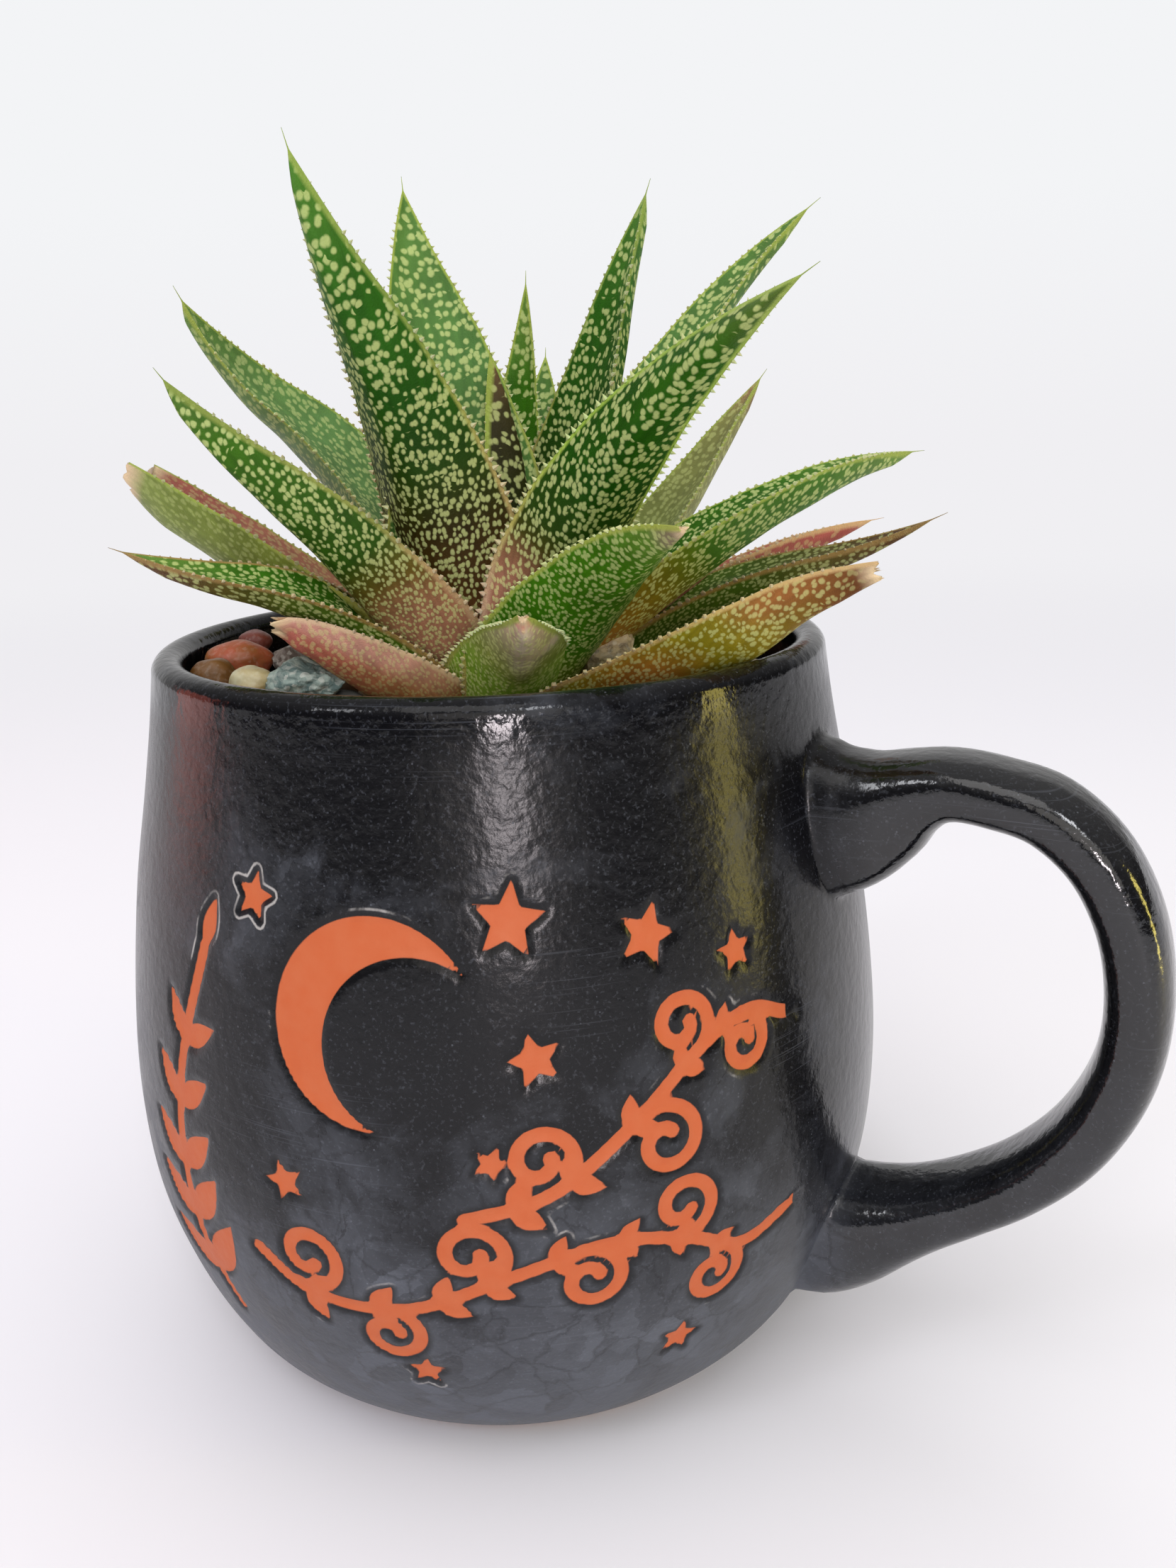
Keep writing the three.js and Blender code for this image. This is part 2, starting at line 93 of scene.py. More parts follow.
# Leaves: azimuth, reach, rise, root height, lift, sway, hook, width and roll, as in the part's source, then
# what is particular to a leaf. "outer" is the skin of the face turned away from the plant's middle, fresh
# where none is given, and "inner" of the other, like the outer where none is given. "twist" turns the root,
# "taper" is how full the sides are, "end" is where a "blunt" leaf stops, and "fine" and "spots" are how
# small and how strong its spots are.
LEAVES = {
    "centre_bud": (-9, 3, 36, 94, -1, 2, -2, 12, 21, dict(outer="bud")),
    "centre_upright": (91.5, 15, 47, 93, -3, 1, 0.5, 11.5, 1.5, {}),
    "upper_back_left": (158, 13, 59, 92, 8, 2.5, 4, 22, -20, dict(outer="frosted")),
    "upper_back_right": (39, 23, 58.5, 90.5, -1.5, 0, -1.5, 21, 18.5, dict(outer="dark")),
    "short_front": (308.5, 35.5, 18.5, 84, 3.5, 1.5, 2, 16, -8, dict(outer="shrivelled", inner="fresh",
        end=0.95, blunt="dry", fine=1.3, spots=1.25)),
    "bowed_front": (326, 48.5, 26, 85, 5.5, 4, -1, 22.5, -5.5, dict(outer="bright", twist=30, end=0.97,
        blunt="dry", fine=1.25)),
    "upper_front_left": (263, 28, 59.5, 90.5, 5, 0, 4, 20, 9.5, dict(outer="dark", inner="fresh")),
    "middle_left": (232.5, 37.5, 38, 90, 1.5, 6, 2.5, 17, 21, dict(outer="pink_base", inner="fresh",
        twist=-8, fine=1.25)),
    "centre_back": (98, 25.5, 40, 91, 0, -1.5, 0, 16, 3, dict(outer="frosted")),
    "large_front_right": (337.5, 54.5, 48.5, 85.5, 8.5, 0, 1, 15, -70, dict(outer="deep", twist=95)),
    "long_right": (53, 51.5, 59, 90, 3, 1, -2, 17, 9, dict(inner="frosted")),
    "upper_left": (208, 35.5, 48, 90, 5, -11, 6.5, 23, -14, dict(outer="hazy", taper=1.5, spots=0.75)),
    "pink_front_left": (246.5, 34, 14, 86.5, -0.5, 1.5, -2.5, 16.5, 15, dict(outer="russet", inner="pink",
        twist=-27, end=0.85, blunt="cut", fine=1.4, spots=0.7)),
    "broken_front_right": (355, 58.5, 21, 85, -4, -3.5, -5.5, 21, -15, dict(outer="yellow", twist=26,
        taper=1.5, end=0.9, blunt="cut", fine=1.4, spots=0.8)),
    "low_right": (20.5, 58, 24, 85, 5, 7.5, 4, 10, 10, dict(outer="brown_tip", fine=1.3, spots=0.8)),
    "middle_right": (33, 58, 28, 88, 5, -10.5, -2, 21.5, 1, dict(outer="amber_base", inner="fresh",
        twist=-5, fine=1.15)),
    "middle_back": (150, 42, 30, 88, 4, 0, 2, 17, 0, {}),
    "olive_back_right": (64.5, 51, 39.5, 88, -3.5, 0, -2, 16, -3, dict(outer="olive", spots=0.6)),
    "outer_back": (118, 44, 26, 87, 4, -1, 2, 17, 4, {}),
    "low_left": (236, 45, 24.5, 84.5, 7, 5, 3.5, 14, -24, dict(outer="brown_tip", inner="fresh", twist=35,
        fine=1.25)),
    "broken_left": (212.5, 61, 37.5, 87.5, 1, -1.5, -2, 21.5, 4.5, dict(outer="faded", inner="red", taper=3,
        end=0.69, blunt="cut", spots=0.45)),
    "red_back_right": (46, 59, 20.5, 86, 1.5, 2.5, -1.5, 15.5, -11, dict(outer="red", spots=0.5)),
    "low_back_left": (172, 43, 18, 86, 4, 0, 2, 16, -4, dict(outer="olive", inner="fresh")),
    "low_back": (135, 44, 13, 85.5, 3, 0, 1, 15, 3, dict(outer="olive")),
    "low_back_right": (84, 43, 20, 86, 3, 0, 1, 15, 0, dict(outer="olive", inner="fresh")),
}
SUN_REDDENED = ("pink_front_left", "red_back_right")

# Skin colours from the root to the tip, as shares of the leaf's length
SKINS = {
    "dark": [(0, "b58a70"), (0.08, "7d5030"), (0.17, "4a3010"), (0.3, "33280a"), (0.42, "223e08"),
        (0.55, "1c4a06"), (0.75, "265a0e"), (0.95, "4a7a2a"), (1, "8a8a50")],
    "deep": [(0, "c09080"), (0.1, "b07c66"), (0.19, "86503a"), (0.28, "5a3c14"), (0.38, "26400a"),
        (0.5, "174604"), (0.8, "265608"), (1, "5a6a30")],
    "bright": [(0, "b07c58"), (0.1, "96702c"), (0.18, "6a7a18"), (0.32, "3c720c"), (0.7, "407610"),
        (0.88, "5f8030"), (0.97, "7a7050"), (1, "9a8a70")],
    "fresh": [(0, "a87850"), (0.08, "8a602c"), (0.16, "5a5e14"), (0.3, "2c5a08"), (0.7, "33660c"),
        (1, "6a8a3c")],
    "amber_base": [(0, "b8702c"), (0.2, "b0742c"), (0.32, "86701c"), (0.46, "3f6a12"), (0.7, "3c6c14"),
        (1, "6a8a3c")],
    "russet": [(0, "c89050"), (0.3, "c08450"), (0.6, "b46c54"), (0.8, "bc6c5e"), (1, "c89080")],
    "hazy": [(0, "9a8058"), (0.15, "6a7a40"), (0.3, "5c7e44"), (0.6, "628a4c"), (1, "5a7c34")],
    "frosted": [(0, "8a6a45"), (0.1, "6b6a32"), (0.2, "4a7030"), (0.6, "4f783a"), (1, "4f7430")],
    "pink_base": [(0, "c09080"), (0.12, "b07c64"), (0.24, "9a6a44"), (0.34, "6a5420"), (0.44, "2a4c0c"),
        (0.8, "35600f"), (1, "5a7a34")],
    "olive": [(0, "8a6a40"), (0.15, "7a7630"), (0.5, "838e4c"), (0.85, "82824a"), (1, "9a5a50")],
    "yellow": [(0, "96602e"), (0.1, "8f7420"), (0.25, "7c7a12"), (0.5, "868214"), (0.66, "80701c"),
        (0.8, "764c22"), (0.9, "64381f"), (1, "d9b48c")],
    "pink": [(0, "c8966a"), (0.3, "cc9a74"), (0.6, "c88a7a"), (0.8, "cc9084"), (1, "d8b0a0")],
    "red": [(0, "a07048"), (0.25, "a8745a"), (0.6, "a05a4c"), (0.9, "a8564e"), (1, "c0a090")],
    "brown_tip": [(0, "966038"), (0.12, "80602a"), (0.22, "4a6a14"), (0.55, "4a661a"), (0.72, "5a5420"),
        (0.85, "5c4222"), (0.97, "5a3a20"), (1, "a08a70")],
    "bud": [(0, "32240c"), (0.2, "26240a"), (0.5, "262a0a"), (0.8, "38331a"), (1, "6a5038")],
    "faded": [(0, "a0763c"), (0.12, "96763c"), (0.25, "74802c"), (0.6, "78893c"), (0.84, "8a965a"),
        (1, "d8b890")],
    # this dried skin is paler than the tissue is: painted light on the down-turned outer face of the short
    # front leaf
    "shrivelled": [(0, "c0a070"), (0.15, "8aa83c"), (0.4, "80a834"), (0.55, "98a850"), (0.75, "b8b088"),
        (0.9, "c8aa98"), (0.95, "e0706a")],
}
# and of their horny margins
EDGES = {
    "deep": [(0, "d0a898"), (0.22, "c49a84"), (0.34, "a8a054"), (0.5, "8cb43c"), (1, "86a048")],
    "dark": [(0, "c09c7c"), (0.35, "b09860"), (0.5, "8a9044"), (0.65, "5f8030"), (1, "7f9c48")],
    "bright": [(0, "c8a070"), (0.15, "b4b058"), (0.4, "a0b44c"), (1, "98a848")],
    "pink_base": [(0, "d0a890"), (0.32, "c09a70"), (0.46, "808a3e"), (1, "647e30")],
    "russet": [(0, "e8cc98"), (1, "e4c0a8")],
    "red": [(0, "c8a878"), (1, "c8a078")],
    "yellow": [(0, "c8a070"), (0.6, "bfa264"), (1, "c09a78")],
    "brown_tip": [(0, "b09060"), (0.5, "96743c"), (1, "8a6a44")],
    "fresh": [(0, "c0a070"), (0.2, "a8a050"), (0.5, "90a844"), (1, "8aa040")],
}

# Patches of another colour: face, place and reach as shares of the length, then place and reach as shares of
# the half width, colour and strength
PATCHES = {
    # the short front leaf's pale dried patches are painted paler than the tissue is: painted light on its
    # down-turned face; its red tip is its own colour
    "short_front": [("outer", 0.8, 0.3, 0.1, 0.6, "ece2c4", 0.75),
        ("outer", 0.95, 0.05, 0, 0.35, "f06a70", 0.9), ("outer", 0.66, 0.05, 0.75, 0.4, "e6d6b6", 0.9)],
    "bowed_front": [("outer", 0.95, 0.1, -0.3, 0.9, "94846c", 0.85)],
    "broken_front_right": [("outer", 0.42, 0.16, -0.6, 0.6, "a05a28", 0.75),
        ("outer", 0.72, 0.1, -0.9, 0.5, "9a5a34", 0.6)],
    "large_front_right": [("outer", 0.2, 0.14, -0.7, 0.8, "b07a64", 0.8)],
    "pink_front_left": [("outer", 0.6, 0.5, 0.9, 0.4, "dcae9c", 0.6),
        ("outer", 0.15, 0.3, -0.3, 0.9, "c88a4c", 0.6)],
    "middle_left": [("outer", 0.2, 0.16, 0.5, 0.9, "b07c62", 0.7)],
}

# Loose stones on the gravel: centre x, y, z, half sizes, turn, finish, colour, second colour
LOOSE_STONES = {
    "pebble_brown": (-27, -23.5, 91.6, 2.7, 2.3, 2.2, 30, "worn", "8a5f2c", "6b4420"),
    "pebble_orange": (-28.8, -16.8, 92, 4.3, 3.1, 2.8, 20, "worn", "b5583a", "8f5a2a"),
    "pebble_cream": (-18, -26.6, 91.8, 3, 2.4, 2.1, -20, "worn", "b59a5c", "d4ceaa"),
    "pebble_dark_red": (-33, -9, 93, 2.4, 1.9, 1.8, 0, "worn", "6e2f26", "8a4436"),
    "rock_teal": (-12.6, -23.4, 91.4, 5.6, 4.2, 3, 15, "broken", "5c716e", "9aaaa2"),
    "rock_grey": (-20.6, -15, 92, 3.4, 2.7, 2.4, 40, "broken", "8a8078", "5c5048"),
    "rock_tan": (18.3, -1.7, 93, 3.5, 3.2, 3.6, 10, "broken", "c8b490", "8c7c62"),
}

# The photograph's camera, worked out from the mug's outline
CAMERA_PLACE = (85.55, -136.91, 121.07)
CAMERA_TURN = 32
CAMERA_YAW, CAMERA_PITCH, CAMERA_ROLL = 0.073469, 0.28792, -0.029818
FOCAL_PIXELS = 1734.8
PHOTO_SIZE = (1659, 2212)


# ------------------------------------------------------------------ small helpers

def linear(hex_colour):
    """An sRGB hex colour as linear red, green, blue and alpha."""
    parts = [int(hex_colour[i:i + 2], 16) / 255 for i in (0, 2, 4)]
    return tuple(c / 12.92 if c <= 0.04045 else ((c + 0.055) / 1.055) ** 2.4 for c in parts) + (1.0,)


def add_node(tree, kind, *values, **named):
    """Adds a node, or takes one that is there. A word after its kind is its operation or type of data, names
    in small letters are its other settings, and the rest are its inputs, with _ for a space. Values without
    a name go to its inputs in their order. An input is a value, a socket, or a node for its first output."""
    made = kind
    if isinstance(kind, str):
        kind, _, mode = kind.partition(" ")
        families = ("ShaderNode", "GeometryNode", "FunctionNode")
        made = tree.nodes.new(next(family + kind for family in families if hasattr(bpy.types, family + kind)))
        if mode:
            setattr(made, "operation" if hasattr(made, "operation") else "data_type", mode)
    for name, value in named.items():
        if name[0].islower():
            setattr(made, name, value)
    pairs = list(zip([socket for socket in made.inputs if socket.enabled], values))
    pairs += [(made.inputs[name.replace("_", " ")], named[name]) for name in named if name[0].isupper()]
    for socket, value in pairs:
        if isinstance(value, bpy.types.Node):
            value = next(output for output in value.outputs if output.enabled)
        if isinstance(value, bpy.types.NodeSocket):
            tree.links.new(value, socket)
        else:
            socket.default_value = value
    return made


def new_material(name, **sockets):
    """A material with one Principled shader, what adds nodes to it, and the shader."""
    material = bpy.data.materials.new(name)
    material.use_nodes = True
    add = partial(add_node, material.node_tree)
    return material, add, add(material.node_tree.nodes["Principled BSDF"], **sockets)


def mesh_object(name, vertices, faces, smooth=True):
    """An object at the origin from vertices in millimetres."""
    mesh = bpy.data.meshes.new(name)
    mesh.from_pydata((np.asarray(vertices, float) * MM).tolist(), [], faces)
    mesh.update()
    if smooth:
        mesh.polygons.foreach_set("use_smooth", np.ones(len(mesh.polygons), bool))
    obj = bpy.data.objects.new(name, mesh)
    bpy.context.scene.collection.objects.link(obj)
    return obj


def set_attribute(obj, name, kind, domain, values):
    """Stores one value for each vertex, edge or corner of the mesh."""
    field = {"FLOAT": "value", "FLOAT_VECTOR": "vector", "FLOAT_COLOR": "color", "BOOLEAN": "value"}[kind]
    attribute = obj.data.attributes.new(name, kind, domain)
    attribute.data.foreach_set(field, np.asarray(values).ravel())


def bake_modifiers(obj):
    """Turns the evaluated object into a plain mesh and takes its modifiers off."""
    graph = bpy.context.evaluated_depsgraph_get()
    baked = bpy.data.meshes.new_from_object(obj.evaluated_get(graph), depsgraph=graph)
    obj.modifiers.clear()
    obj.data = baked


def add_tree(obj, tree, **values):
    """Adds a Geometry Nodes modifier and sets its inputs by the sockets' identifiers."""
    modifier = obj.modifiers.new(tree.name, "NODES")
    modifier.node_group = tree
    for item in tree.interface.items_tree:
        key = item.name.lower().replace(" ", "_")
        if item.in_out == "INPUT" and key in values:
            modifier[item.identifier] = values[key]


def tree_with_inputs(name, **inputs):
    """A Geometry Nodes tree with a geometry input and the named ones, each a number or a kind of socket: what
    adds nodes to it, its inputs, and its last node."""
    tree = bpy.data.node_groups.new(name, "GeometryNodeTree")
    tree.interface.new_socket("Geometry", in_out="INPUT", socket_type="NodeSocketGeometry")
    for label, value in inputs.items():
        kind = {int: "Int", float: "Float", str: value}[type(value)]
        socket = tree.interface.new_socket(label, in_out="INPUT", socket_type=f"NodeSocket{kind}")
        if kind != value:
            socket.default_value = value
    tree.interface.new_socket("Geometry", in_out="OUTPUT", socket_type="NodeSocketGeometry")
    given = tree.nodes.new("NodeGroupInput")
    return partial(add_node, tree), list(given.outputs)[:-1], tree.nodes.new("NodeGroupOutput")


def kept(obj, slot, *nodes):
    """The piece rides on the part's body and stands for these CAD nodes. The slot is not used."""
    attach(obj, BODY)
    if nodes:
        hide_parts(*nodes)


def smooth_path(points, spacing):
    """A Catmull-Rom curve through rows of numbers; spacing(row) is the step to take there."""
    rows = np.asarray(points, float)
    padded = np.vstack([2 * rows[0] - rows[1], rows, 2 * rows[-1] - rows[-2]])
    fine = []
    for a, b, c, d in zip(padded, padded[1:], padded[2:], padded[3:]):
        for s in np.linspace(0, 1, 40, endpoint=False):
            fine.append(0.5 * (2 * b + (c - a) * s + (2 * a - 5 * b + 4 * c - d) * s ** 2
                               + (3 * b - a - 3 * c + d) * s ** 3))
    fine.append(rows[-1])
    fine = np.array(fine)
    chosen, walked = [fine[0]], 0.0
    for before, after in zip(fine, fine[1:]):
        walked += np.linalg.norm((after - before)[:2])
        if walked >= spacing(after):
            chosen.append(after)
            walked = 0.0
    if np.linalg.norm((chosen[-1] - fine[-1])[:2]) < 0.3 * spacing(fine[-1]):
        chosen.pop()
    chosen.append(fine[-1])
    return np.array(chosen)


def closed_strip(rings, columns, cap_start=True, cap_end=True):
    """Faces that join rings of points, closed round each ring, with a fan over either end."""
    faces = []
    for i in range(rings - 1):
        for j in range(columns):
            a, b = i * columns + j, i * columns + (j + 1) % columns
            faces.append((a, b, b + columns, a + columns))
    last = (rings - 1) * columns
    if cap_start:
        faces += [(rings * columns, (j + 1) % columns, j) for j in range(columns)]
    if cap_end:
        extra = rings * columns + (1 if cap_start else 0)
        faces += [(extra, last + j, last + (j + 1) % columns) for j in range(columns)]
    return faces


def outward(obj):
    """Turns the mesh right side out."""
    work = bmesh.new()
    work.from_mesh(obj.data)
    bmesh.ops.recalc_face_normals(work, faces=work.faces)
    if work.calc_volume(signed=True) < 0:
        bmesh.ops.reverse_faces(work, faces=work.faces)
    work.to_mesh(obj.data)
    work.free()


# ------------------------------------------------------------------ settings

def colour_setting(name, description, hex_colour):
    """A colour that the user may change."""
    return bpy.props.FloatVectorProperty(name=name, description=description, subtype="COLOR", size=4, min=0,
                                         max=1, default=linear(hex_colour))


def length_setting(name, description, default, least, most):
    """A length in metres that the user may change."""
    return bpy.props.FloatProperty(name=name, description=description, unit="LENGTH", default=default,
                                   min=least, max=most)


class MugSettings(bpy.types.PropertyGroup):
    glaze: colour_setting("Glaze", "Colour of the satin glaze", "0a0a0d")
    inlay: colour_setting("Inlay", "Colour of the pressed motifs", "b9592f")
    relief: length_setting("Relief depth", "How deep the motifs are pressed into the wall", 0.00035, 0, 0.001)


class PlantSettings(bpy.types.PropertyGroup):
    cream: colour_setting("Spots", "Colour that the spots on the leaves tend to", "dce698")
    margin: colour_setting("Margins", "Colour of the horny edges of the leaves", "b9b06a")
    teeth: colour_setting("Teeth", "Colour of the teeth on the edges", "d8d6b4")
    tooth_spacing: length_setting(
        "Tooth spacing", "From one marginal tooth to the next", 0.0011, 0.0005, 0.005)
    tooth_height: length_setting("Tooth height", "How far a tooth stands out of the edge", 0.0008, 0, 0.002)


class FillingSettings(bpy.types.PropertyGroup):
    pebble_gap: length_setting(
        "Pebble gap", "Least distance between the middles of two pebbles", 0.0042, 0.002, 0.01)
    grit_gap: length_setting(
        "Grit gap", "Least distance between the middles of two grains of grit", 0.0021, 0.001, 0.01)
    seed: bpy.props.IntProperty(name="Seed", description="Changes how the stones fell", default=5)


class StudioSettings(bpy.types.PropertyGroup):
    floor: colour_setting("Floor", "Colour of the floor", "edecf2")
    key: bpy.props.FloatProperty(
        name="Key light", description="Power of the large light in front", default=1.8, min=0)


# ------------------------------------------------------------------ mug

DECORATED_AZIMUTHS = (224, 356)
DECORATED_HEIGHTS = (13, 81)
FACING_AZIMUTH = 302      # of the wall that faces the camera
FINE_STEP = 0.47
UNROLL_RADIUS = 49.0
NO_MOTIF = -6.0           # the depth stored where no motif is near
HANDLE_JOINT = (0.047, 0.053)   # metres from the axis: the wall ends and the handle begins


def placed(outline, x, y, turn):
    """An outline turned about its origin and moved to (x, y)."""
    c, s = math.cos(math.radians(turn)), math.sin(math.radians(turn))
    return [(x + c * px - s * py, y + s * px + c * py) for px, py in outline]


def star(x, y, radius, turn, points=5):
    """Outline of a star."""
    corners = []
    for i in range(2 * points):
        angle = math.radians(turn) + math.pi * i / points
        reach = radius if i % 2 == 0 else 0.45 * radius
        corners.append((x + reach * math.sin(angle), y + reach * math.cos(angle)))
    return corners


def crescent(x, y, radius, thickness, turn):
    """Outline of a crescent moon whose horns point the way that it is turned."""
    inner = radius * 0.86
    shift = thickness + inner - radius
    half = math.acos((radius ** 2 + shift ** 2 - inner ** 2) / (2 * radius * shift))
    inner_half = math.acos((inner ** 2 + shift ** 2 - radius ** 2) / (2 * inner * shift))
    outline = [(radius * math.cos(a), radius * math.sin(a))
               for a in np.linspace(half, 2 * math.pi - half, 40)]
    outline += [(shift - inner * math.cos(a), -inner * math.sin(a))
                for a in np.linspace(inner_half, -inner_half, 30)[1:-1]]
    return placed(outline, x, y, turn)


def leaflet(x, y, length, width, turn):
    """Outline of a pointed leaflet that starts at (x, y)."""
    side = [(length * t, width / 2 * math.sin(math.pi * t ** 0.8)) for t in np.linspace(0, 1, 9)]
    return placed(side + [(px, -py) for px, py in side[-2:0:-1]], x, y, turn)


def sprig(path, pairs, length, width):
    """A stalk and its leaflets, set in turn along a path of (x, y) points."""
    track = smooth_path(path, lambda row: 0.6)
    shapes = []
    for i in range(pairs):
        at = int(len(track) * (0.12 + 0.8 * i / pairs))
        heading = track[min(at + 2, len(track) - 1)] - track[at - 1]
        way = math.degrees(math.atan2(heading[1], heading[0]))
        size = 1 - 0.45 * i / pairs
        for side in (-1, 1):
            shapes.append(leaflet(*track[at], length * size, width * size, way + side * 48))
    last = track[-1] - track[-4]
    shapes.append(leaflet(*track[-1], length * 0.6, width * 0.55, math.degrees(math.atan2(last[1], last[0]))))
    return track, shapes


def curl(x, y, way, radius, hand):
    """A tendril that leaves a stalk at (x, y), heading the given way, and curls in to its left or right."""
    t = np.linspace(0, 1, 36)
    heading = math.radians(way)
    angle = heading - hand * math.pi / 2 + hand * t * 2.4 * math.pi
    reach = radius * (1 - 0.72 * t)
    return np.stack([x - hand * radius * math.sin(heading) + reach * np.cos(angle),
                     y + hand * radius * math.cos(heading) + reach * np.sin(angle)], axis=1)


# The pressed design, unrolled: x runs round the wall from the azimuth that faces the camera, y is the height
CRESCENTS = [(-15, 62, 11.5, 6.4, -30)]
STARS = [
    (0, 73, 4.2, 8), (2, 58.5, 3.2, -14), (15, 70, 3.6, 20), (-30, 74, 2.8, 10), (-26, 43, 2.6, -20),
    (26, 66, 2.6, -6), (-12, 19, 2.4, 4), (18, 19.5, 2.6, 12), (-3, 47.5, 2.2, 24),
]
SPRIGS = [   # stalk, pairs of leaflets, their length and width
    ([(-39, 20), (-43, 34), (-43, 50), (-38, 67)], 5, 10, 4.4),
    ([(-31, 33), (-24, 29), (-13, 29), (-2, 33.5), (9, 36.5), (18, 34.5), (25, 31), (32, 32.5)], 8, 4.6, 2.5),
    ([(-6, 41), (3, 43.5), (12, 50), (20, 56.5), (27, 59), (32.5, 57)], 5, 4.6, 2.5),
]
TENDRILS = [(-26, 30, -25, 4.4, 1), (-15, 28.8, -5, 4, -1), (-4, 32.8, 25, 4.2, 1), (6, 36.2, 12, 4, -1),
            (16, 35, -18, 4.2, 1), (23, 31.6, -25, 3.8, -1), (4, 44, 30, 4, 1), (13, 50.8, 36, 4.4, -1),
            (20, 56.4, 30, 3.8, 1), (26, 59, 0, 3.4, -1)]
STROKE = 0.8


def motif_depth(x, y):
    """How far inside a motif each point of the unrolled wall is, in millimetres; outside is negative."""
    outlines = [crescent(*row) for row in CRESCENTS] + [star(*row) for row in STARS]
    strokes = [curl(*row) for row in TENDRILS]
    for row in SPRIGS:
        track, leaflets = sprig(*row)
        strokes.append(track)
        outlines += leaflets
    depth = np.full(x.shape, NO_MOTIF)
    paths = [(np.array(outline), True) for outline in outlines] + [(track, False) for track in strokes]
    for path, closed in paths:
        near = close_to(path, x, y)
        px, py = x[near], y[near]
        inside = np.zeros(px.shape, bool)
        distance = np.full(px.shape, 9.0)
        for (ax, ay), (bx, by) in zip(path, np.roll(path, -1, axis=0) if closed else path[1:]):
            distance = np.minimum(distance, to_segment(px, py, ax, ay, bx, by))
            crosses = (ay > py) != (by > py)
            inside ^= crosses & (px < (bx - ax) * (py - ay) / (by - ay if by != ay else 1) + ax)
        within = np.where(inside, distance, -distance) if closed else STROKE - distance
        depth[near] = np.maximum(depth[near], within)
    return depth


def close_to(path, x, y):
    """Which points lie within a few millimetres of the box round a path."""
    (left, low), (right, high) = path.min(axis=0) - 3, path.max(axis=0) + 3
    return (left < x) & (x < right) & (low < y) & (y < high)


def to_segment(px, py, ax, ay, bx, by):
    """Distance from points to a straight segment."""
    dx, dy = bx - ax, by - ay
    along = np.clip(((px - ax) * dx + (py - ay) * dy) / max(dx * dx + dy * dy, 1e-9), 0, 1)
    return np.hypot(px - ax - along * dx, py - ay - along * dy)


def relief_tree():
    """Geometry Nodes that press the motifs into the wall, with a soft roll of glaze round each."""
    add, (wall, depth, material), result = tree_with_inputs(
        "pressed_motifs", Depth=0.00035, Material="Material")
    inlay = add("InputNamedAttribute FLOAT", "inlay")
    pressed = add("MapRange", inlay, -0.45, 0.15, 0.0, -1.0, interpolation_type="SMOOTHSTEP")
    amount = add("Math MULTIPLY", pressed, depth)
    offset = add("VectorMath SCALE", add("InputNormal"), amount)
    moved = add("SetPosition", wall, Offset=offset)
    add(result, add("SetMaterial", add("RealizeInstances", moved), Material=material))
    return result.id_data


def mug_body():
    """The thrown body: its profile turned round the axis, finest where the motifs are."""
    low, high = DECORATED_HEIGHTS
    outside = smooth_path(MUG_OUTSIDE, lambda row: FINE_STEP if low < row[1] < high else 1.1)
    lip = [(LIP_CENTRE[0] + LIP_RADIUS * math.cos(a), LIP_CENTRE[1] + LIP_RADIUS * math.sin(a))
           for a in np.linspace(0, math.pi, 15)[1:-1]]
    inside = smooth_path(MUG_INSIDE, lambda row: 1.2 if row[1] > 80 else 3.5)
    profile = np.vstack([outside, lip, inside])
    start, end = DECORATED_AZIMUTHS
    step = math.degrees(FINE_STEP / UNROLL_RADIUS)
    azimuths = np.concatenate([
        np.arange(start, end, step),
        np.arange(end, 360 + 22, 1.1),
        np.arange(22, start - 1, 3.0),
    ])
    angles = np.radians(azimuths)
    rings = np.stack([
        profile[:, :1] * np.cos(angles), profile[:, :1] * np.sin(angles),
        np.repeat(profile[:, 1:], len(angles), axis=1),
    ], axis=-1)
    vertices = np.vstack([rings.reshape(-1, 3), [(0, 0, 0)], [(0, 0, MUG_FLOOR)]])
    body = mesh_object("belly_mug", vertices, closed_strip(len(profile), len(angles)))
    x = np.radians(azimuths - FACING_AZIMUTH)[None, :] * UNROLL_RADIUS + 0 * profile[:, :1]
    y = np.repeat(profile[:, 1:], len(angles), axis=1)
    depth = motif_depth(x, y)
    depth[len(outside):] = NO_MOTIF
    set_attribute(body, "inlay", "FLOAT", "POINT", np.append(depth.ravel(), [NO_MOTIF, NO_MOTIF]))
    outward(body)
    return body


def mug_handle():
    """The strap handle, swept along its stations and flared into the wall."""
    stations = smooth_path(HANDLE_STATIONS, lambda row: 1.0)
    path = np.stack([stations[:, 0], 0 * stations[:, 0], stations[:, 1]], axis=1)
    along = np.gradient(path, axis=0)
    along /= np.linalg.norm(along, axis=1)[:, None]
    across = np.array([0.0, 1.0, 0.0])
    out = np.cross(along, across)
    angles = np.linspace(0, 2 * math.pi, 56, endpoint=False)
    c, s = np.cos(angles), np.sin(angles)
    corner = (abs(c) ** HANDLE_SQUARENESS + abs(s) ** HANDLE_SQUARENESS) ** (-1 / HANDLE_SQUARENESS)
    rings = (path[:, None] + (stations[:, 3:4] * (corner * c))[..., None] * across
             + (stations[:, 2:3] * (corner * s))[..., None] * out[:, None])
    vertices = np.vstack([rings.reshape(-1, 3), path[:1], path[-1:]])
    handle = mesh_object("strap_handle", vertices, closed_strip(len(path), len(angles)))
    set_attribute(handle, "inlay", "FLOAT", "POINT", np.full(len(vertices), NO_MOTIF))
    outward(handle)
    return handle


